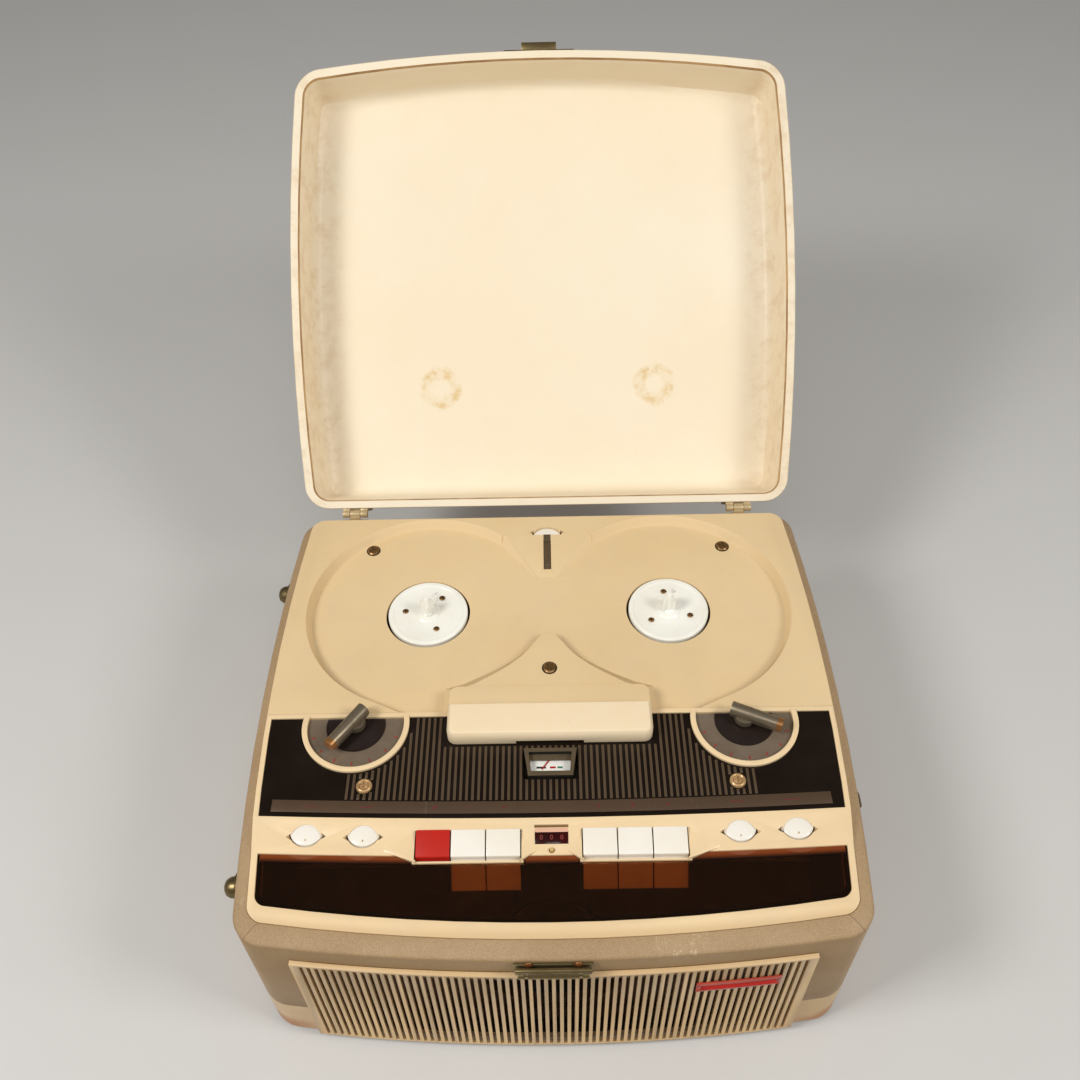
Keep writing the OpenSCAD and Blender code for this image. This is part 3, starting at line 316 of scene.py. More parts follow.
def startGroup(name, takes, gives):
    group = bpy.data.node_groups.new(name, "ShaderNodeTree")
    for label, value in takes.items():
        group.interface.new_socket(label, in_out="INPUT",
            socket_type="NodeSocketFloat").default_value = value
    for label in gives:
        group.interface.new_socket(label, in_out="OUTPUT", socket_type="NodeSocketFloat")
    return group, group.nodes.new("NodeGroupInput").outputs, group.nodes.new("NodeGroupOutput").inputs


def useGroup(tree, group, **values):
    made = tree.nodes.new("ShaderNodeGroup")
    made.node_tree = group
    for key, value in values.items():
        made.inputs[key].default_value = value
    return made.outputs


# effects that several finishes share
patina, takes, gives = startGroup("patina", {"Scale": 9, "Low": 0.4, "High": 0.65}, ["Mask"])
cloud = noise(patina, takes["Scale"], 6, 0.62)
clouded = put(patina, "ShaderNodeMapRange",
    {"Value": cloud, "From Min": takes["Low"], "From Max": takes["High"]})
patina.links.new(clouded.outputs[0], gives["Mask"])

fineGrain, takes, gives = startGroup("fineGrain", {"Scale": 1800, "Speck": 0.74}, ["Height", "Speck"])
fineGrain.links.new(noise(fineGrain, takes["Scale"], 3), gives["Height"])
rare = noise(fineGrain, mul(fineGrain, takes["Scale"], 0.22), 1)
fineGrain.links.new(calc(fineGrain, "GREATER_THAN", rare, takes["Speck"]), gives["Speck"])

pebble, takes, gives = startGroup("pebbleGrain", {"Scale": 750}, ["Height", "Crease"])
warp = put(pebble, "ShaderNodeTexNoise",
    {"Vector": place(pebble), "Scale": mul(pebble, takes["Scale"], 0.5), "Detail": 2}).outputs["Color"]
moved = put(pebble, "ShaderNodeMix", {0: 0.0015, 4: place(pebble), 5: warp}, data_type="VECTOR").outputs[1]
cells = put(pebble, "ShaderNodeTexVoronoi", {"Vector": moved, "Scale": takes["Scale"]},
    feature="DISTANCE_TO_EDGE")
crown = spread(pebble, cells.outputs["Distance"], 0.0, 0.28)
pebble.links.new(crown, gives["Height"])
pebble.links.new(sub(pebble, 1.0, crown), gives["Crease"])

scratches, takes, gives = startGroup("scratches", {"Scale": 60, "Turn": 0.5, "Amount": 0.5}, ["Mask"])
turned = put(scratches, "ShaderNodeMapping", {"Vector": place(scratches), "Scale": (1, 0.035, 1),
    "Rotation": (0.3, 0.2, 0.5)}).outputs[0]
streak = put(scratches, "ShaderNodeTexNoise",
    {"Vector": turned, "Scale": mul(scratches, takes["Scale"], 6.0), "Detail": 2}).outputs[0]
offLine = absolute(scratches, sub(scratches, streak, takes["Turn"]))
held = calc(scratches, "GREATER_THAN", noise(scratches, takes["Scale"], 3),
    sub(scratches, 1.0, takes["Amount"]))
scratches.links.new(mul(scratches, calc(scratches, "LESS_THAN", offLine, 0.006), held), gives["Mask"])

dust, takes, gives = startGroup("dust", {"Scale": 40, "Amount": 0.3}, ["Mask"])
drift = noise(dust, takes["Scale"], 8, 0.75)
lying = mul(dust, spread(dust, facing(dust, 2), 0.55, 0.95), spread(dust, drift, 0.42, 0.72))
dust.links.new(mul(dust, lying, takes["Amount"]), gives["Mask"])

nearFloor, takes, gives = startGroup("nearFloor", {"Height": 0.02, "Scale": 45}, ["Mask"])
ragged = sub(nearFloor, noise(nearFloor, takes["Scale"], 6, 0.7), 0.55)
rise = sub(nearFloor, 1.0, calc(nearFloor, "DIVIDE", axes(nearFloor)[2], takes["Height"]))
nearFloor.links.new(spread(nearFloor, calc(nearFloor, "ADD", rise, ragged), 0.0, 0.5), gives["Mask"])

finishes = {}
# what a finish has where its own values leave it out
plain = {"patch": 0.5, "patchScale": 14, "crease": 0.4, "grain": 1800, "speck": 0.76, "speckShare": 0.25,
    "scratchScale": 60, "scratchShare": 0.6, "bump": 0.1, "bumpDepth": 0.0002, "metal": 0, "coat": 0,
    "coatRough": 0.12, "specular": 0.5, "glass": 0, "index": 1.5, "dustTint": (196, 186, 170)}


def surface(name, values, extra=None):
    look = {**plain, **values}
    material = bpy.data.materials.new(name)
    finishes[name] = material
    material.use_nodes = True
    tree = material.node_tree
    shader = tree.nodes["Principled BSDF"]
    clouds = useGroup(tree, patina, Scale=look["patchScale"])["Mask"]
    colour = stain(tree, linear(*look["base"]), clouds, look["patch"], look["aged"])
    if "pebble" in look:
        grain = useGroup(tree, pebble, Scale=look["pebble"])
        colour = stain(tree, colour, grain["Crease"], look["crease"], look["aged"], "MULTIPLY")
    else:
        grain = useGroup(tree, fineGrain, Scale=look["grain"], Speck=look["speck"])
        colour = stain(tree, colour, grain["Speck"], look["speckShare"], look["aged"])
    if "scratch" in look:
        lines = useGroup(tree, scratches, Scale=look["scratchScale"], Amount=look["scratch"])["Mask"]
        colour = stain(tree, colour, lines, look["scratchShare"], look["scratchTint"])
    if extra:
        colour = extra(tree, colour)
    if "dust" in look:
        colour = tint(tree, useGroup(tree, dust, Amount=look["dust"])["Mask"], colour,
            linear(*look["dustTint"]))
    tree.links.new(colour, shader.inputs["Base Color"])
    tree.links.new(spread(tree, clouds, 0, 1, *look["rough"]), shader.inputs["Roughness"])
    bump = put(tree, "ShaderNodeBump", {"Strength": look["bump"], "Distance": look["bumpDepth"],
        "Height": grain["Height"]})
    tree.links.new(bump.outputs[0], shader.inputs["Normal"])
    for label, key in (("Metallic", "metal"), ("Coat Weight", "coat"), ("Coat Roughness", "coatRough"),
            ("Specular IOR Level", "specular"), ("Transmission Weight", "glass"), ("IOR", "index")):
        shader.inputs[label].default_value = look[key]


print("shared effects ready")

# finishes
seam = {"x": 178, "y": -156, "width": 0.35, "above": 139, "ahead": -130, "beyond": 165,
    "tint": (112, 86, 58), "share": 0.75}
scuff = {"at": (78, -179, 143), "reach": 26, "core": 4, "rub": (160, 6, 0.75), "cut": 0.6,
    "tint": (226, 205, 170), "share": 0.42}
clothLowTone = {"height": 0.075, "scale": 30, "tint": (120, 94, 62), "share": 0.35}
frontShade = {"turn": (-0.6, -0.95), "tint": (140, 112, 75), "share": 0.6}


def caseMarks(tree, colour):
    # mitred joins of the cloth at both front corners, a rubbed place by the catch, darker near the floor,
    # painted shade in front
    x, y, z = axes(tree)
    side = absolute(tree, x)
    across = calc(tree, "ADD", side, sub(tree, y, (seam["x"] + seam["y"]) / 1000))
    line = calc(tree, "LESS_THAN", absolute(tree, across), seam["width"] / 1000)
    high = calc(tree, "GREATER_THAN", z, seam["above"] / 1000)
    near = mul(tree, high, calc(tree, "LESS_THAN", y, seam["ahead"] / 1000))
    corner = calc(tree, "GREATER_THAN", side, seam["beyond"] / 1000)
    colour = stainWith(tree, colour, mul(tree, mul(tree, line, near), corner), seam)
    rub = calc(tree, "GREATER_THAN", noise(tree, *scuff["rub"]), scuff["cut"])
    worn = spread(tree, awayFrom(tree, mm(*scuff["at"])), scuff["reach"] / 1000, scuff["core"] / 1000)
    colour = stainWith(tree, colour, mul(tree, worn, rub), scuff)
    # the cloth is darker and browner towards the floor
    lowMask = useGroup(tree, nearFloor, Height=clothLowTone["height"], Scale=clothLowTone["scale"])["Mask"]
    colour = stainWith(tree, colour, lowMask, clothLowTone)
    # painted shade: faces that turn to the front are darker and browner
    return stainWith(tree, colour, spread(tree, facing(tree, 1), *frontShade["turn"]), frontShade)


surface("leathercloth", {"base": (186, 157, 118), "aged": (158, 128, 90), "patch": 0.45, "patchScale": 11,
    "pebble": 900, "crease": 0.3, "rough": (0.48, 0.66), "bump": 0.3, "bumpDepth": 0.00025,
    "scratch": 0.34, "scratchTint": (214, 190, 152), "scratchShare": 0.5}, caseMarks)

glueRings = {"centres": [(-89, 106), (94, 106)], "level": 191, "edges": [(6.5, 11.5), (19.5, 14.5)],
    "stray": 10, "wobble": (75, 4, 0.7), "breaks": (95, 5, 0.65), "gaps": (0.4, 0.62, 0.15, 1),
    "tint": (222, 186, 116), "share": 0.75}
linerWallFilmAndShade = {"cloud": (0.42, 0.7, 0.25, 1), "from": 163, "to": 186, "tint": (205, 168, 116), "share": 0.4}


def linerMarks(tree, colour):
    # dried glue in two broken rings on the floor of the lid, and browner side walls: a film of dirt and
    # painted shade
    wobble = noise(tree, *glueRings["wobble"])
    broken = noise(tree, *glueRings["breaks"])
    stray = mul(tree, sub(tree, wobble, 0.5), glueRings["stray"] / 1000)
    for x, up in glueRings["centres"]:
        away = calc(tree, "ADD", awayFrom(tree, lidTurn @ mm(x, hinge["y"] - up, glueRings["level"])),
            stray)
        inner, outer = (spread(tree, away, low / 1000, high / 1000) for low, high in glueRings["edges"])
        ring = mul(tree, mul(tree, inner, outer), spread(tree, broken, *glueRings["gaps"]))
        colour = stainWith(tree, colour, ring, glueRings)
    walls = fade(tree, absolute(tree, axes(tree)[0]), linerWallFilmAndShade)
    veil = mul(tree, walls, spread(tree, wobble, *linerWallFilmAndShade["cloud"]))
    return stainWith(tree, colour, veil, linerWallFilmAndShade)


surface("creamLiner", {"base": (246, 232, 205), "aged": (238, 217, 180), "patch": 0.4, "patchScale": 5,
    "grain": 700, "speck": 0.79, "speckShare": 0.2, "rough": (0.42, 0.55), "bump": 0.08, "scratch": 0.3,
    "scratchTint": (226, 206, 170), "scratchShare": 0.35, "scratchScale": 30}, linerMarks)

rimTone = {"from": 20, "to": 13, "tint": (196, 160, 108), "share": 0.5}


def rimShade(tree, colour):
    # the front rim darkens towards the cloth, by its distance behind the bowed front line
    x, y = axes(tree)[:2]
    straight = calc(tree, "ADD", y, (deck["caseD"] - deck["frontBow"]) / 2000)
    behind = calc(tree, "ADD", straight, mul(tree, bowed(tree, x), deck["frontBow"] / 1000))
    return stainWith(tree, colour, fade(tree, behind, rimTone), rimTone)


surface("creamMoulding", {"base": (236, 208, 163), "aged": (225, 193, 146), "patch": 0.4, "patchScale": 10,
    "grain": 1500, "rough": (0.36, 0.48), "bump": 0.06, "dust": 0.12, "coat": 0.1}, rimShade)

bandSoil = {"height": 0.025, "scale": 60, "from": 150, "to": 185, "tint": (176, 112, 58), "share": 0.85}


def bandWear(tree, colour):
    # rubbed edge near the floor, where the cream has gone to orange brown
    lowMask = useGroup(tree, nearFloor, Height=bandSoil["height"], Scale=bandSoil["scale"])["Mask"]
    ends = fade(tree, absolute(tree, axes(tree)[0]), bandSoil)
    return stainWith(tree, colour, mul(tree, lowMask, ends), bandSoil)


surface("creamBand", {"base": (212, 181, 135), "aged": (192, 156, 106), "patch": 0.45, "patchScale": 13,
    "grain": 1400, "rough": (0.38, 0.5), "bump": 0.06, "dust": 0.1}, bandWear)

wellWallLight = {
    "litPale": {"turn": (-0.2, -0.75), "tint": (240, 214, 170), "share": 0.6},
    "veil": {"turn": (0.2, 0.75), "tint": (150, 114, 68), "share": 0.45}}


def wellWalls(tree, colour):
    # painted light and shade: walls that face the user are painted paler, walls that face away darker and
    # browner
    away = facing(tree, 1)
    for tone in wellWallLight.values():
        colour = stainWith(tree, colour, spread(tree, away, *tone["turn"]), tone)
    return colour


surface("deckTan", {"base": (226, 198, 151), "aged": (215, 183, 131), "patch": 0.45, "patchScale": 8,
    "grain": 2200, "speck": 0.78, "speckShare": 0.2, "rough": (0.42, 0.54), "bump": 0.12, "dust": 0.14,
    "scratch": 0.28, "scratchTint": (206, 174, 124), "scratchShare": 0.35}, wellWalls)

ribSheen = {"from": 151.4, "to": 151.7, "tint": (86, 70, 53), "share": 0.95}


def ribTops(tree, colour):
    # painted highlight: the tops of the ribs are painted lighter, where they would catch the light
    return stainWith(tree, colour, fade(tree, axes(tree)[2], ribSheen), ribSheen)


surface("ribbedBrown", {"base": (25, 17, 11), "aged": (36, 25, 17), "patchScale": 20, "grain": 1200,
    "rough": (0.3, 0.42), "bump": 0.05, "specular": 0.25}, ribTops)

knobEnds = {"turns": {-1: 234.5, 1: 336}, "from": 21.6, "to": 22.6, "tint": (176, 118, 62), "share": 0.85}


def knobTips(tree, colour):
    # rubbed through to the copper at the pointing end of each bar
    x = axes(tree)[0]
    for sign, turn in knobEnds["turns"].items():
        along = spin(turn).to_3x3() @ Vector((1, 0, 0))
        axle = mm(sign * deck["dialX"], deck["dialY"], 0).dot(along)
        far = sub(tree, awayFrom(tree, along, "DOT_PRODUCT"), axle)
        end = fade(tree, far, knobEnds)
        own = calc(tree, "GREATER_THAN", mul(tree, x, sign), 0.0)
        colour = stainWith(tree, colour, mul(tree, end, own), knobEnds)
    return colour


surface("knobSilver", {"base": (150, 136, 114), "aged": (112, 98, 78), "patchScale": 60, "grain": 3000,
    "rough": (0.36, 0.48), "metal": 0.7, "bump": 0.08, "scratch": 0.4, "scratchTint": (120, 108, 92),
    "scratchScale": 160}, knobTips)

hubSmudge = {"spots": [(-82, 94.5, 7.5), (-86, 101, 5), (96, 101.5, 4.5)], "core": 0.5,
    "grime": (150, 5, 0.7), "cut": (0.42, 0.66), "tint": (84, 66, 46), "share": 0.7}


def hubMarks(tree, colour):
    # oily dirt beside the screws
    grime = spread(tree, noise(tree, *hubSmudge["grime"]), *hubSmudge["cut"])
    for x, y, reach in hubSmudge["spots"]:
        near = spread(tree, awayFrom(tree, mm(x, y, deck["hubTop"])), reach / 1000,
            hubSmudge["core"] / 1000)
        colour = stainWith(tree, colour, mul(tree, near, grime), hubSmudge)
    return colour


surface("hubWhite", {"base": (246, 244, 233), "aged": (229, 222, 203), "patch": 0.45, "patchScale": 34,
    "grain": 1600, "rough": (0.26, 0.36), "bump": 0.04, "coat": 0.2}, hubMarks)

# finishes without marks of their own
looks = {
    "insideBoard": {"base": (44, 32, 24), "aged": (28, 20, 15), "rough": (0.7, 0.85), "grain": 900,
        "bump": 0.3},
    "coverCream": {"base": (242, 221, 186), "aged": (233, 206, 160), "patch": 0.35, "patchScale": 12,
        "grain": 1500, "rough": (0.32, 0.44), "bump": 0.05, "scratch": 0.32,
        "scratchTint": (220, 196, 156), "scratchShare": 0.4, "coat": 0.15},
    "dialGrey": {"base": (134, 117, 98), "aged": (108, 90, 70), "patch": 0.6, "patchScale": 30,
        "grain": 2400, "rough": (0.34, 0.46), "metal": 0.35, "bump": 0.08, "dust": 0.1},
    "discBlack": {"base": (36, 23, 17), "aged": (27, 17, 12), "patchScale": 40, "rough": (0.4, 0.55),
        "bump": 0.08},
    "keyWhite": {"base": (241, 234, 221), "aged": (231, 219, 196), "patch": 0.4, "patchScale": 26,
        "grain": 1600, "rough": (0.22, 0.32), "bump": 0.03, "coat": 0.25, "scratch": 0.28,
        "scratchTint": (224, 214, 194), "scratchShare": 0.4, "scratchScale": 120},
    "redPlastic": {"base": (192, 38, 26), "aged": (170, 32, 22), "patch": 0.45, "patchScale": 30,
        "grain": 1600, "rough": (0.36, 0.46), "bump": 0.03, "specular": 0.2, "scratch": 0.3,
        "scratchTint": (216, 92, 76), "scratchShare": 0.4, "scratchScale": 120},
    "amberPlastic": {"base": (214, 178, 118), "aged": (180, 138, 80), "rough": (0.3, 0.4), "bump": 0.05},
    "blackPlastic": {"base": (26, 23, 21), "aged": (44, 38, 33), "patchScale": 30, "rough": (0.35, 0.5),
        "dust": 0.08},
    "needleRed": {"base": (176, 30, 22), "aged": (140, 22, 16), "rough": (0.35, 0.45), "bump": 0.03},
    "meterWhite": {"base": (238, 236, 228), "aged": (222, 214, 196), "patch": 0.4, "patchScale": 60,
        "rough": (0.45, 0.55), "bump": 0.03},
    "scaleGreen": {"base": (58, 124, 92), "aged": (44, 98, 72), "rough": (0.45, 0.55), "bump": 0.03},
    "windowRed": {"base": (58, 10, 10), "aged": (32, 6, 6), "patch": 0.6, "patchScale": 90,
        "rough": (0.12, 0.2), "bump": 0.02, "coat": 0.6},
    "digitRed": {"base": (150, 62, 50), "aged": (120, 44, 36), "rough": (0.4, 0.5), "bump": 0.03},
    "printRed": {"base": (104, 48, 40), "aged": (88, 52, 42), "patch": 0.7, "patchScale": 300,
        "rough": (0.4, 0.5), "bump": 0.02},
    "bezelBrown": {"base": (92, 78, 56), "aged": (66, 54, 38), "patchScale": 60, "rough": (0.34, 0.46),
        "bump": 0.06},
    "badgeRim": {"base": (178, 62, 42), "aged": (150, 44, 30), "patchScale": 60, "rough": (0.3, 0.4),
        "bump": 0.05, "coat": 0.2},
    "trimPink": {"base": (226, 178, 148), "aged": (206, 154, 122), "rough": (0.35, 0.45), "bump": 0.03},
    "grooveDirt": {"base": (128, 92, 48), "aged": (92, 62, 30), "patch": 0.6, "patchScale": 60,
        "rough": (0.7, 0.85)},
    "linerDirt": {"base": (196, 158, 108), "aged": (142, 102, 58), "patch": 0.8, "patchScale": 26,
        "rough": (0.5, 0.65), "bump": 0.06},
    "labelGrey": {"base": (96, 76, 58), "aged": (82, 64, 48), "patch": 0.6, "patchScale": 18,
        "grain": 2400, "rough": (0.36, 0.46), "metal": 0.3, "bump": 0.05, "scratch": 0.35,
        "scratchTint": (124, 110, 92), "scratchScale": 90},
    "plainSteel": {"base": (178, 177, 174), "aged": (140, 134, 124), "patchScale": 40,
        "rough": (0.24, 0.4), "metal": 1},
    "sheetMetal": {"base": (176, 176, 172), "aged": (146, 142, 132), "patchScale": 16,
        "rough": (0.36, 0.52), "metal": 0.9},
    "bearingBronze": {"base": (178, 140, 76), "aged": (128, 94, 46), "patchScale": 50,
        "rough": (0.3, 0.45), "metal": 0.9},
    "agedBronze": {"base": (132, 114, 76), "aged": (86, 72, 44), "patch": 0.7, "patchScale": 55,
        "grain": 2600, "rough": (0.34, 0.55), "metal": 0.75, "bump": 0.15, "scratch": 0.42,
        "scratchTint": (172, 138, 88), "scratchScale": 120},
    "rivetCopper": {"base": (170, 108, 62), "aged": (116, 68, 36), "patch": 0.6, "patchScale": 200,
        "rough": (0.3, 0.45), "metal": 0.8},
    "screwBrown": {"base": (150, 116, 72), "aged": (92, 68, 40), "patch": 0.7, "patchScale": 220,
        "rough": (0.35, 0.55), "metal": 0.7, "bump": 0.15},
    "cupBrass": {"base": (206, 168, 118), "aged": (160, 120, 74), "patch": 0.6, "patchScale": 160,
        "rough": (0.3, 0.42), "metal": 0.35},
    "hingeBrass": {"base": (208, 184, 140), "aged": (160, 132, 90), "patch": 0.6, "patchScale": 50,
        "rough": (0.42, 0.58), "metal": 0.3, "bump": 0.12},
    "gripLeather": {"base": (128, 100, 70), "aged": (92, 68, 46), "patchScale": 24, "pebble": 800,
        "rough": (0.42, 0.6), "bump": 0.35, "bumpDepth": 0.0003},
    "blackRubber": {"base": (30, 29, 28), "aged": (52, 49, 46), "patchScale": 30, "rough": (0.65, 0.85),
        "bump": 0.2, "dust": 0.15},
    "driveIron": {"base": (108, 108, 110), "aged": (78, 76, 74), "patchScale": 25, "rough": (0.4, 0.6),
        "metal": 0.7, "bump": 0.2},
    "basketGrey": {"base": (66, 66, 70), "aged": (46, 45, 46), "patchScale": 25, "rough": (0.45, 0.6),
        "metal": 0.4, "bump": 0.15},
    "conePaper": {"base": (40, 35, 31), "aged": (26, 22, 19), "patchScale": 30, "grain": 900,
        "rough": (0.8, 0.92), "bump": 0.4},
    "baseBoard": {"base": (96, 68, 45), "aged": (70, 48, 31), "patch": 0.6, "patchScale": 30,
        "grain": 1300, "rough": (0.6, 0.78), "bump": 0.25, "dust": 0.1},
    "circuitBoard": {"base": (150, 112, 62), "aged": (112, 80, 42), "patchScale": 40, "rough": (0.4, 0.55),
        "bump": 0.08},
    "smoked": {"base": (204, 142, 92), "aged": (194, 130, 82), "patch": 0.3, "rough": (0.06, 0.1),
        "bump": 0.01, "glass": 0.988, "index": 1.45},
    "floorGrey": {"base": (208, 206, 202), "aged": (202, 199, 194), "patch": 0.4, "patchScale": 3,
        "grain": 500, "rough": (0.6, 0.72), "bump": 0.03}}
for name, look in looks.items():
    surface(name, look)

edgeGlow = {"rear": 22.6, "bright": 23.6, "front": 28.2, "level": 145.7, "near": (126, 62, 28),
    "far": (22, 13, 9), "wheel": (140, 84, 58), "reach": (19.6, 18.6), "share": 0.6}
edgeLook = {"base": edgeGlow["far"], "aged": edgeGlow["far"], "rough": (0.14, 0.2), "bump": 0.01,
    "specular": 0.3}


def edgeFade(tree, colour):
    # painted light: brightest at the strip, fading into the dark panel, with the wheels' discs painted as
    # seen through it
    x, y = axes(tree)[:2]
    straight = sub(tree, deck["stripY"] / 1000, y)
    ahead = sub(tree, straight, mul(tree, bowed(tree, x), deck["stripBow"] / 1000))
    glow = spread(tree, ahead, edgeGlow["front"] / 1000, edgeGlow["bright"] / 1000)
    colour = tint(tree, glow, colour, linear(*edgeGlow["near"]))
    for wheelX in wheelPlaces.values():
        axle = mm(wheelX, stripLine(wheelX, deck["wheelAhead"]), edgeGlow["level"])
        wheel = spread(tree, awayFrom(tree, axle), *(reach / 1000 for reach in edgeGlow["reach"]))
        colour = stain(tree, colour, wheel, edgeGlow["share"], edgeGlow["wheel"])
    return colour


surface("smokedEdge", edgeLook, edgeFade)
print("finishes ready:", len(finishes))

# finish of each carried-over solid, by the name of its slot
finishOf = {
    "leathercloth": ("leathercloth", ["case_shell", "lid_shell"]),
    "cream_liner": ("creamLiner", ["lid_liner"]),
    "cream_moulding": ("creamMoulding", ["control_frame"]),
    "cream_band": ("creamBand", ["plinth_band", "speaker_grille"]),
    "deck_tan": ("deckTan", ["deck_plate"]),
    "ribbed_brown": ("ribbedBrown", ["ribbed_panel"]),
    "smoked": ("smoked", ["smoked_panel"]),
    "dial_grey": ("dialGrey", ["dial_plates"]),
    "knob_silver": ("knobSilver", ["lever_knob_l", "lever_knob_r"]),
    "white_plastic": ("keyWhite", ["pause_key", "play_key", "rewind_key", "stop_key", "forward_key",
        "volume_wheel", "tone_wheel", "monitor_wheel", "balance_wheel", "speed_wheel"]),
    "red_plastic": ("redPlastic", ["record_key"]),
    "amber_plastic": ("amberPlastic", ["counter_button"]),
    "black_plastic": ("blackPlastic", ["meter_bezel", "counter_housing", "counter_drum", "socket_panel"]),
    "needle_red": ("needleRed", ["meter_needle"]),
    "plain_steel": ("plainSteel", ["spool_shaft_l", "spool_shaft_r", "key_rod", "tape_heads",
        "pinch_arm"]),
    "sheet_metal": ("sheetMetal", ["chassis_plate", "rotary_controls"]),
    "sintered_bronze": ("bearingBronze", ["bearing_bushes", "motor_pulley"]),
    "aged_bronze": ("agedBronze", ["catch_plate", "catch_lever", "lid_catch", "handle_brackets",
        "side_glides"]),
    "hinge_brass": ("hingeBrass", ["case_hinges", "lid_hinges"]),
    "handle_vinyl": ("gripLeather", ["carry_handle"]),
    "black_rubber": ("blackRubber", ["rubber_feet", "drive_belt", "pinch_roller"]),
    "drive_iron": ("driveIron", ["flywheel", "drive_motor", "mains_transformer"]),
    "basket_grey": ("basketGrey", ["speaker_basket"]),
    "cone_paper": ("conePaper", ["speaker_cone"]),
    "base_board": ("baseBoard", ["base_panel", "baffle_board"]),
    "circuit_board": ("circuitBoard", ["amplifier_board"]),
    "white_hub": ("hubWhite", ["turntable_l", "turntable_r"]),
    "cover": ("coverCream", ["head_cover"])}

# width of the softened edge in millimetres, steps, and the angle that counts as an edge
softGroups = {
    (0.7, 3, 30): ["record_key", "pause_key", "play_key", "rewind_key", "stop_key", "forward_key"],
    (0.5, 2, 40): ["volume_wheel", "tone_wheel", "monitor_wheel", "balance_wheel", "socket_panel"],
    (0.3, 2, 40): ["speed_wheel", "catch_plate", "catch_lever", "case_hinges", "lid_hinges"],
    (0.7, 3, 40): ["lever_knob_l", "lever_knob_r"],
    (0.9, 3, 40): ["head_cover"],
    (0.5, 2, 30): ["meter_bezel"],
    (0.4, 2, 40): ["lid_catch"],
    (0.6, 2, 40): ["handle_brackets"],
    (0.8, 2, 40): ["rubber_feet"],
    (0.35, 2, 40): ["speaker_grille"],
    (0.45, 2, 24): ["control_frame"],
    (0.9, 3, 24): ["deck_plate"],
    (0.25, 2, 32): ["turntable_l", "turntable_r"],
    (0, 0, 30): ["ribbed_panel"],
    (0, 0, 38): ["case_shell", "lid_shell", "lid_liner", "plinth_band", "side_glides"],
    (0, 0, 40): ["carry_handle"]}
softened = {name: edge for edge, names in softGroups.items() for name in names}
softPieces = {}
for slot, (finish, names) in finishOf.items():
    for name in names:
        if name in softened:
            piece = softCopy(name, *softened[name])
            softPieces[name] = dress(piece, finish, bodyOf[name])
        else:
            nodes[name].data.materials.clear()
            paint(nodes[name], finish)
print("solids dressed:", len(softPieces), "with softened edges")

# inner faces of the case are bare board, not cloth
caseInside = {"centreY": 7, "below": 144.5, "above": 20}


def isInward(spot, away):
    return away.x * spot.x + away.y * (spot.y - caseInside["centreY"] / 1000) < 0


def isBoard(centre, normal):
    level = centre.z * 1000
    wall = isInward(centre, normal) and level < caseInside["below"]
    return wall or (normal.z < -0.5 and level > caseInside["above"])


repaint(softPieces["case_shell"], "insideBoard", isBoard)

# the rim of the lid reads as one flat band: its fine groove is filled, a brown line runs along the inner
# edge
linerEdge = {"lineFrom": 146.3, "lineTo": 148.6, "grooveFloor": 148, "fill": 1.95}


def isGroove(centre, normal):
    level = (lidShut @ centre).z * 1000
    return abs(level - linerEdge["grooveFloor"]) < 0.1 and (lidShut.to_3x3() @ normal).z < -0.9


def isRimEdge(centre, normal):
    spot = lidShut @ centre
    away = lidShut.to_3x3() @ normal
    inBand = linerEdge["lineFrom"] < spot.z * 1000 < linerEdge["lineTo"]
    return isInward(spot, away) and abs(away.z) < 0.9 and inBand


pickFaces(softPieces["lid_liner"], isGroove)
bpy.ops.transform.translate(value=lidTurn.to_3x3() @ mm(0, 0, -linerEdge["fill"]))
setMode("OBJECT")
repaint(softPieces["lid_liner"], "linerDirt", isRimEdge)

# painted shade: the red key's skirt is black behind the smoked panel; painted highlight: the meter frame's
# upward faces are a lighter brown
paintLevels = {"skirtBelow": 143.5, "bezelAbove": 150.5}
repaint(softPieces["record_key"], "blackPlastic",
    lambda centre, normal: centre.z * 1000 < paintLevels["skirtBelow"])
repaint(softPieces["meter_bezel"], "bezelBrown",
    lambda centre, normal: normal.z > 0.4 and centre.z * 1000 > paintLevels["bezelAbove"])

# the grille's bars are drawn in a little, so that its slits read as wide as the bars
grilleTrim = {"end": 160.5, "by": 0.2}
pickFaces(softPieces["speaker_grille"],
    lambda centre, normal: abs(normal.x) > 0.8 and abs(centre.x) * 1000 < grilleTrim["end"])
bpy.ops.transform.shrink_fatten(value=-grilleTrim["by"] / 1000)
setMode("OBJECT")

# screws; the shares are of the radius
screwShape = {"corners": 28, "rim": 0.2, "dome": 0.14, "reach": 0.62}


def crossScrew(name, size):
    radius, slot = size["radius"], size["slot"] / 1000
    screw = cylinder(name, screwShape["corners"], radius, size["height"])
    stepTop(screw, [(radius * screwShape["rim"], radius * screwShape["dome"])])
    setMode("EDIT")
    for offset, direction in ((slot, (1, 0, 0)), (-slot, (1, 0, 0)), (slot, (0, 1, 0)),
            (-slot, (0, 1, 0))):
        pickAll()
        bpy.ops.mesh.bisect(plane_co=Vector(direction) * offset, plane_no=direction)
    reach = radius * screwShape["reach"] / 1000

    def isCross(centre, normal):
        near, far = sorted((abs(centre.x), abs(centre.y)))
        return isTop(centre, normal) and near < slot * 0.9 and far < reach

    pickFaces(screw, isCross)
    bpy.ops.mesh.extrude_region_move(TRANSFORM_OT_translate={"value": (0, 0, -size["depth"] / 1000)})
    setMode("OBJECT")
    smooth(30)
    return screw


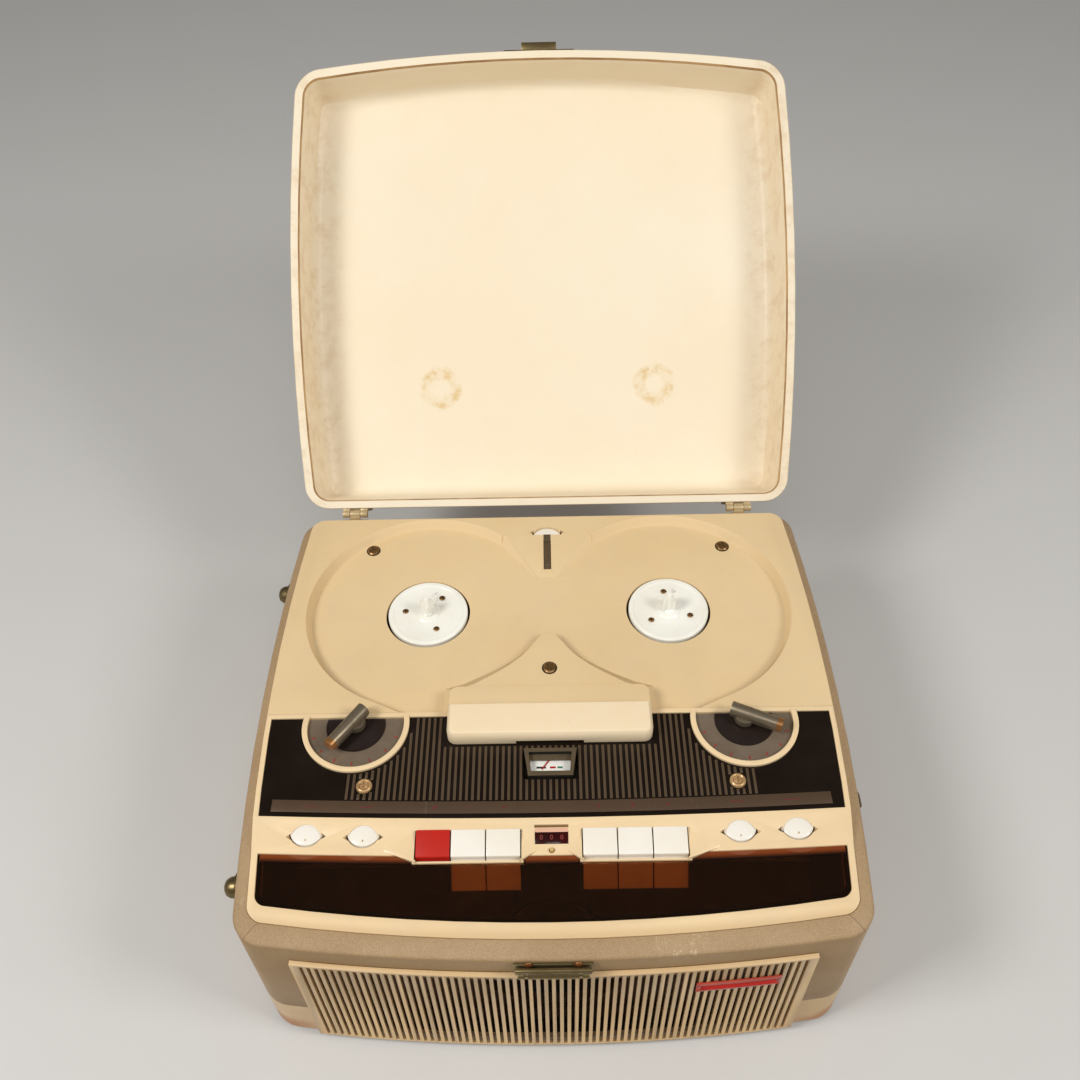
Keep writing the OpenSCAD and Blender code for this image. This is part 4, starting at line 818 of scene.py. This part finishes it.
hubScrews = {"radius": 2.2, "height": 1.0, "slot": 0.42, "depth": 0.6, "circle": 17.2, "sunk": 0.9,
    "spin": 1.7, "turns": {"l": (54.6, 174.6, 294.6), "r": (97.5, 217.5, 337.5)}}
hubScrew = crossScrew("hubScrew", hubScrews)
for side, turns in hubScrews["turns"].items():
    for count, turn in enumerate(turns):
        hub = moveTo(bothSides[side] * deck["hubX"], deck["hubY"], deck["hubTop"] - hubScrews["sunk"])
        out = spin(turn) @ moveTo(hubScrews["circle"], 0, 0)
        spot = hub @ out @ spin(turn * (hubScrews["spin"] - 1))
        dress(copyOf(hubScrew, f"hubScrew_{side}_{count}", spot), "screwBrown",
            "spool_" + side)
discard(hubScrew)

deckScrews = {"radius": 4.7, "height": 1.0, "slot": 0.7, "depth": 0.8, "sunk": 0.4, "seat": 5.5,
    "seatHeight": 0.3, "seatSteps": [(0.4, -0.1)], "places": [(-138.6, 148.2, deck["floor"], 20),
    (139.1, 146.7, deck["floor"], 65), (0.4, 24.9, deck["top"], 40)]}
deckScrew = crossScrew("deckScrew", deckScrews)
seat = cylinder("deckScrewSeat", 40, deckScrews["seat"], deckScrews["seatHeight"],
    z=-deckScrews["seatHeight"] / 2)
stepTop(seat, deckScrews["seatSteps"])
for count, (x, y, z, turn) in enumerate(deckScrews["places"]):
    spot = moveTo(x, y, z) @ spin(turn)
    head = copyOf(deckScrew, f"deckScrew_{count}", spot @ moveTo(0, 0, -deckScrews["sunk"]))
    dress(head, "screwBrown")
    dress(copyOf(seat, f"deckScrewSeat_{count}", spot), "discBlack")
discard(seat)

# cup washers with their screws on the dark panel
cups = {"radius": 5.4, "height": 1.0, "x": 123.6, "y": -68.6,
    "steps": [(0.8, 0.75), (0.7, 0.3), (0.6, -0.4), (0.5, -0.6)], "screwLift": 0.9,
    "screwScale": (0.62, 0.62, 0.9, 1)}
cup = cylinder("cupWasher", 40, cups["radius"], cups["height"])
stepTop(cup, cups["steps"])
smooth(50)
for side, sign in bothSides.items():
    spot = moveTo(sign * cups["x"], cups["y"], deck["panel"])
    dress(copyOf(cup, "cupWasher_" + side, spot), "cupBrass")
    small = moveTo(0, 0, cups["screwLift"]) @ Matrix.Diagonal(cups["screwScale"])
    dress(copyOf(deckScrew, "cupScrew_" + side, spot @ small), "cupBrass")
discard(cup)
discard(deckScrew)
print("screws and washers placed")


# plates and marks
def bentPlate(name, columns, corner, thick, edge):
    # a flat grid whose columns are set by corner(share along, share across), then thickened
    plate = add(name, bpy.ops.mesh.primitive_grid_add, x_subdivisions=columns, y_subdivisions=1, size=2)
    for vertex in plate.data.vertices:
        vertex.co = corner((vertex.co.x + 1) / 2, (vertex.co.y + 1) / 2)
    wall = plate.modifiers.new("wall", "SOLIDIFY")
    wall.thickness = thick / 1000
    wall.offset = -1
    bpy.ops.object.modifier_apply(modifier=wall.name)
    roundEdges(plate, edge, 2, 40)
    return plate


def stripPlate(name, columns, ends, depth, size):
    # follows the bowed strip between two ends and two distances ahead of its line
    def corner(along, across):
        x = between(*ends, along)
        return mm(x, stripLine(x, between(*depth, across)), size["top"])

    return bentPlate(name, columns, corner, size["thick"], size["edge"])


# finer ribs in place of the solid's own, stopped at the dials, the washers, the cover and the meter
ribs = {"count": 69, "pitch": 3.96, "width": 1.9, "height": 0.7, "sunk": 0.1, "edge": 0.2, "rear": -15.7,
    "front": -14, "dial": 38.6, "washer": 6, "coverX": 71.5, "coverY": (-39.5, 0), "meterX": 19.6,
    "meterY": (-65.5, -42.5), "length": 20, "least": 1.5}
pickFaces(softPieces["ribbed_panel"],
    lambda centre, normal: isTop(centre, normal) and centre.z * 1000 > deck["panel"] + 0.4)
bpy.ops.transform.translate(value=mm(0, 0, -ribs["height"]))
pickAll()
bpy.ops.mesh.remove_doubles(threshold=0.00001)
bpy.ops.mesh.dissolve_limited(angle_limit=math.radians(0.5))
setMode("OBJECT")


def ribRuns(x):
    runs = [(stripLine(x, ribs["front"]), ribs["rear"])]
    stops = []
    for sign in bothSides.values():
        for centreX, centreY, radius in ((sign * deck["dialX"], deck["dialY"], ribs["dial"]),
                (sign * cups["x"], cups["y"], ribs["washer"])):
            across = max(0, abs(x - centreX) - ribs["width"] / 2)
            if across < radius:
                half = math.sqrt(radius ** 2 - across ** 2)
                stops.append((centreY - half, centreY + half))
    for limit, stop in ((ribs["coverX"], ribs["coverY"]), (ribs["meterX"], ribs["meterY"])):
        if abs(x) < limit:
            stops.append(stop)
    for low, high in stops:
        parts = [part for start, end in runs for part in ((start, min(end, low)), (max(start, high), end))]
        runs = [part for part in parts if part[1] - part[0] > ribs["least"]]
    return runs


rib = bar("panelRib", (ribs["width"], ribs["length"], ribs["height"] + ribs["sunk"]), ribs["edge"])
ribParts = []
for count in range(ribs["count"]):
    x = (count - (ribs["count"] - 1) / 2) * ribs["pitch"]
    for low, high in ribRuns(x):
        stretch = Matrix.Diagonal((1, (high - low) / ribs["length"], 1, 1))
        spot = moveTo(x, (low + high) / 2, deck["panel"] - ribs["sunk"])
        ribParts.append(copyOf(rib, "panelRibs", spot @ stretch))
discard(rib)
only(ribParts[0])
for part in ribParts:
    part.select_set(True)
bpy.ops.object.join()
dress(bpy.context.object, "ribbedBrown")

# painted light: brown plates along the rear of the smoked panel carry the glow of the strip, beside and
# between the key banks
glowPlates = {"top": 145.72, "thick": 0.2, "edge": 0.05,
    "runs": {"l": (-186.5, -90), "m": (-17, 17), "r": (90, 186.5)}}
for side, ends in glowPlates["runs"].items():
    veil = stripPlate("smokedEdge_" + side, 24, ends, (edgeGlow["front"], edgeGlow["rear"]), glowPlates)
    dress(veil, "smokedEdge")

labelPlate = {"ends": (-183, 183), "depth": (-4.5, -13.2), "top": deck["panel"] + 0.5, "thick": 0.5,
    "edge": 0.15}
label = stripPlate("labelStrip", 40, labelPlate["ends"], labelPlate["depth"], labelPlate)
dress(label, "labelGrey")

# plain printed marks: bars at the wheels, signs at the keys
signs = {"ahead": -8.85, "z": 151.62, "thick": 0.16, "edge": 0.04,
    "bars": {"volume": (-157, 9, 1.1), "tone": (-121, 9, 1.1), "monitor": (121, 9, 1.1),
    "balance": (157, 9, 1.1), "pause": (-53.4, 2.8, 0.9), "stop": (53.4, 2.6, 2.6)},
    "shapes": {"record": (-75.9, 24, 1.5, 0), "play": (-30.9, 3, 1.8, -90), "rewind": (30.9, 3, 1.8, 90),
    "forward": (75.9, 3, 1.8, -90)}}
for name, (x, width, length) in signs["bars"].items():
    mark = bar("labelMark_" + name, (width, length, signs["thick"]), signs["edge"])
    lay(mark, moveTo(x, stripLine(x, signs["ahead"]), signs["z"]), "printRed")
for name, (x, corners, radius, turn) in signs["shapes"].items():
    mark = cylinder("labelMark_" + name, corners, radius, signs["thick"])
    roundEdges(mark, signs["edge"], 1, 40)
    lay(mark, moveTo(x, stripLine(x, signs["ahead"]), signs["z"]) @ spin(turn), "printRed")

badge = {"ends": (88.5, 142), "levels": (95.5, 107.5), "ahead": 4.6, "thick": 1.2, "edge": 0.25,
    "rim": 2.6, "sunk": 0.7}


def badgeCorner(along, across):
    x = between(*badge["ends"], along)
    return mm(x, frontLine(x) - badge["ahead"], between(*badge["levels"], across))


badgeBar = bentPlate("badgeBar", 16, badgeCorner, badge["thick"], badge["edge"])
dress(badgeBar, "badgeRim")
paint(badgeBar, "redPlastic")
pickFaces(badgeBar, lambda centre, normal: normal.y < -0.9)
bpy.ops.mesh.inset(thickness=badge["rim"] / 1000)
bpy.ops.transform.translate(value=mm(0, badge["sunk"], 0))
badgeBar.active_material_index = 1
bpy.ops.object.material_slot_assign()
setMode("OBJECT")

# dark discs under the bar knobs, with a few marks round them
dial = {"radius": 20.4, "height": 0.5, "rear": 5.6, "steps": [(0.8, -0.2)], "mark": (0.7, 2.6, 0.25),
    "markEdge": 0.08, "markTurns": (198, 222, 246, 270, 294, 318, 342), "circle": 29.6, "sunk": 0.05}
dialMark = bar("dialMark", dial["mark"], dial["markEdge"])
for side, sign in bothSides.items():
    x = sign * deck["dialX"]
    disc = cylinder("dialDisc_" + side, 72, dial["radius"], dial["height"], x, deck["dialY"],
        deck["dialTop"])
    cutBehind(disc, deck["dialY"] + dial["rear"])
    stepTop(disc, dial["steps"])
    dress(disc, "discBlack")
    for count, turn in enumerate(dial["markTurns"]):
        out = spin(turn - 90) @ moveTo(0, dial["circle"], 0)
        spot = moveTo(x, deck["dialY"], deck["dialTop"] - dial["sunk"]) @ out
        dress(copyOf(dialMark, f"dialMark_{side}_{count}", spot), "needleRed")
discard(dialMark)

# meter: white card with a plain coloured scale, and a visor over the pivot
meter = {"card": (27.4, 13.6, 0.25), "cardAt": (-53.8, 149.75), "stripe": (1.5, 0.15),
    "stripeAt": (-55.6, 149.91), "visor": (29, 5.4, 0.5), "visorAt": (-48.4, 151.35),
    "scale": [(-6.2, 6.4, "black", "blackPlastic"), (1.6, 4.0, "red", "needleRed"),
    (6.4, 3.6, "green", "scaleGreen")]}
lay(bar("meterCard", meter["card"], 0.08), moveTo(0, *meter["cardAt"]), "meterWhite")
for x, length, ink, finish in meter["scale"]:
    stripe = bar("meterScale_" + ink, (length, *meter["stripe"]), 0.05)
    lay(stripe, moveTo(x, *meter["stripeAt"]), finish)
lay(bar("meterVisor", meter["visor"], 0.12), moveTo(0, *meter["visorAt"]), "bezelBrown")

# counter window with three plain digits, a dark bar of painted shade in the groove and a pale line behind
# it
counter = {"fall": math.degrees(math.atan(5.5 / 22)), "Window": ((21.2, 7.8, 0.6), 0.15, 11.5, 148.4),
    "Groove": ((21.4, 1.5, 0.5), 0.1, 4.5, 150), "Trim": ((21.2, 2.6, 0.3), 0.08, 7, 149.95), "digit": 4.2,
    "digitXs": (-6.6, 0, 6.6), "digitLift": 0.66, "digitThick": 0.06}


def onStrip(x, ahead, z):
    return moveTo(x, stripLine(0, ahead), z) @ spin(counter["fall"], "X")


counterParts = {
    "Window": ("windowRed", "black_plastic"),
    "Groove": ("grooveDirt", "aged_bronze"),
    "Trim": ("trimPink", "red_plastic")}
for name, (finish, slot) in counterParts.items():
    size, edge, ahead, z = counter[name]
    lay(bar("counter" + name, size, edge), onStrip(0, ahead, z), finish)
for count, x in enumerate(counter["digitXs"]):
    bpy.ops.object.text_add(location=(0, 0, 0))
    digit = bpy.context.object
    digit.data.body = "0"
    digit.data.align_x = "CENTER"
    digit.data.align_y = "CENTER"
    digit.data.size = counter["digit"] / 1000
    digit.data.extrude = counter["digitThick"] / 1000
    only(digit)
    bpy.ops.object.convert(target="MESH")
    digit = settle(bpy.context.object, f"counterDigit_{count}")
    lay(digit, onStrip(x, *counter["Window"][2:]) @ moveTo(0, 0, counter["digitLift"]), "digitRed")

# pointer marks on the thumbwheels
wheelMark = {"reach": 7.4, "z": 149.55, "size": (0.8, 1.8, 0.25), "edge": 0.08}
for name, x in wheelPlaces.items():
    mark = bar("wheelMark_" + name, wheelMark["size"], wheelMark["edge"])
    spot = moveTo(x, stripLine(x, deck["wheelAhead"]) - wheelMark["reach"], wheelMark["z"])
    lay(mark, spot, "linerDirt", name)

# rivets of the catch
rivet = {"x": 15, "y": -185.3, "z": 142.3, "radius": 2.8, "flat": (1, 0.55, 1, 1)}
for side, sign in bothSides.items():
    dome = add("catchRivet_" + side, bpy.ops.mesh.primitive_uv_sphere_add, segments=20, ring_count=12,
        radius=rivet["radius"] / 1000)
    cutBehind(dome, 0)
    spot = moveTo(sign * rivet["x"], rivet["y"], rivet["z"]) @ Matrix.Diagonal(rivet["flat"])
    lay(dome, spot, "rivetCopper")
    smooth(60)

# scale in the slot of the rear ramp
ramp = {"creaseY": 155, "fall": math.degrees(math.atan(8 / 37.5)),
    "beds": [("rampScale", (5.6, 25, 0.3), -18.1, -1.15), ("rampPointer", (5.6, 6.4, 0.25), -2.8, -0.1)],
    "marks": 8, "lengths": (4.2, 2.6), "mark": (0.7, 0.2), "markX": 0.4, "markY": -7.4, "markZ": -0.9,
    "pitch": 2.8}
rampFrame = moveTo(0, ramp["creaseY"], deck["top"]) @ spin(ramp["fall"], "X")
for name, size, y, z in ramp["beds"]:
    lay(bar(name, size, 0.08), rampFrame @ moveTo(0, y, z), "bezelBrown")
for count in range(ramp["marks"]):
    mark = bar(f"rampMark_{count}", (ramp["lengths"][count % 2], *ramp["mark"]), 0.05)
    spot = moveTo(ramp["markX"], ramp["markY"] - count * ramp["pitch"], ramp["markZ"])
    lay(mark, rampFrame @ spot, "knobSilver" if count == ramp["marks"] - 1 else "screwBrown")
print("plates and marks placed")

# hardware at the back
hingeScrews = {"radius": 2.4, "height": 0.8, "slot": 0.4, "depth": 0.5, "x": 157.2, "y": 185.6,
    "lidLevel": 293, "places": [(-5.5, 131), (5.5, 131), (0, 124)]}
hingeScrew = crossScrew("hingeScrew", hingeScrews)
outBack = spin(-90, "X")
for side, sign in bothSides.items():
    for count, (x, z) in enumerate(hingeScrews["places"]):
        across = sign * hingeScrews["x"] + x
        low = moveTo(across, hingeScrews["y"], z) @ outBack
        dress(copyOf(hingeScrew, f"hingeScrew_{side}_{count}", low), "hingeBrass")
        high = lidTurn @ moveTo(across, hingeScrews["y"], hingeScrews["lidLevel"] - z) @ outBack
        dress(copyOf(hingeScrew, f"lidScrew_{side}_{count}", high), "hingeBrass", "lid")
discard(hingeScrew)

socket = {"xs": (48, 70, 92), "y": 172.2, "z": 57, "radius": 6.6, "height": 1.2, "steps": [(1.1, -0.5)],
    "pin": {"radius": 0.7, "height": 1.6, "slot": 0.1, "depth": 0.2}, "pinTurns": (0, 90, 180),
    "pinAt": (3.4, 0, 0.4)}
insert = cylinder("socketInsert", 36, socket["radius"], socket["height"])
stepTop(insert, socket["steps"])
pin = crossScrew("socketContact", socket["pin"])
for count, x in enumerate(socket["xs"]):
    spot = moveTo(x, socket["y"], socket["z"]) @ outBack
    dress(copyOf(insert, f"socketInsert_{count}", spot), "plainSteel")
    for number, turn in enumerate(socket["pinTurns"]):
        shift = Matrix.Translation(spin(turn) @ mm(*socket["pinAt"]))
        contact = copyOf(pin, f"socketContact_{count}_{number}", spot @ shift)
        dress(contact, "bearingBronze")
discard(insert)
discard(pin)
print("rear hardware placed")

# floor, light and camera
studio = {"floorSize": 9, "aim": (0, 0.05, 0.15), "sky": (1.0, 0.985, 0.96, 1), "level": 0.34,
    "mirrored": 0.05}
floor = add("studioFloor", bpy.ops.mesh.primitive_plane_add, size=studio["floorSize"])
paint(floor, "floorGrey")

lamps = {"leftLamp": {"at": (-1.15, -0.55, 1.55), "size": 0.55, "power": 18.5},
    "rightLamp": {"at": (1.25, -0.55, 1.45), "size": 0.55, "power": 12.5},
    "nearLamp": {"at": (0.05, -0.7, 1.2), "size": 0.4, "power": 2}}
for name, lamp in lamps.items():
    light = bpy.data.lights.new(name, "AREA")
    light.size = lamp["size"]
    light.energy = lamp["power"]
    stand = bpy.data.objects.new(name, light)
    stand.location = lamp["at"]
    stand.visible_camera = False
    beam = Vector(studio["aim"]) - Vector(lamp["at"])
    stand.rotation_euler = beam.to_track_quat("-Z", "Y").to_euler()
    scene.collection.objects.link(stand)
world = bpy.data.worlds.new("studioWorld")
scene.world = world
world.use_nodes = True
backdrop = world.node_tree.nodes["Background"]
backdrop.inputs["Color"].default_value = studio["sky"]
rays = put(world.node_tree, "ShaderNodeLightPath").outputs["Is Glossy Ray"]
strength = spread(world.node_tree, rays, 0, 1, studio["level"], studio["mirrored"])
world.node_tree.links.new(strength, backdrop.inputs["Strength"])

# the camera solved from the photograph: place in metres, turns in degrees
viewPoint = {"at": (0.001885, -0.44673, 0.80176), "down": 47.452, "roll": 1.509, "yaw": -0.716,
    "lens": 37.04, "sensor": 36}
pitch, roll, yaw = (math.radians(viewPoint[key]) for key in ("down", "roll", "yaw"))
ahead = Vector((math.sin(yaw) * math.cos(pitch), math.cos(yaw) * math.cos(pitch), -math.sin(pitch)))
right = ahead.cross(Vector((0, 0, 1))).normalized()
below = ahead.cross(right)
rightRolled = math.cos(roll) * right + math.sin(roll) * below
belowRolled = math.cos(roll) * below - math.sin(roll) * right
camera = bpy.data.objects.new("photoCamera", bpy.data.cameras.new("photoCamera"))
camera.data.lens = viewPoint["lens"]
camera.data.sensor_width = viewPoint["sensor"]
cameraTurn = Matrix((rightRolled, -belowRolled, -ahead)).transposed().to_4x4()
camera.matrix_world = Matrix.Translation(viewPoint["at"]) @ cameraTurn
scene.collection.objects.link(camera)
scene.camera = camera
print("floor, light and camera set")
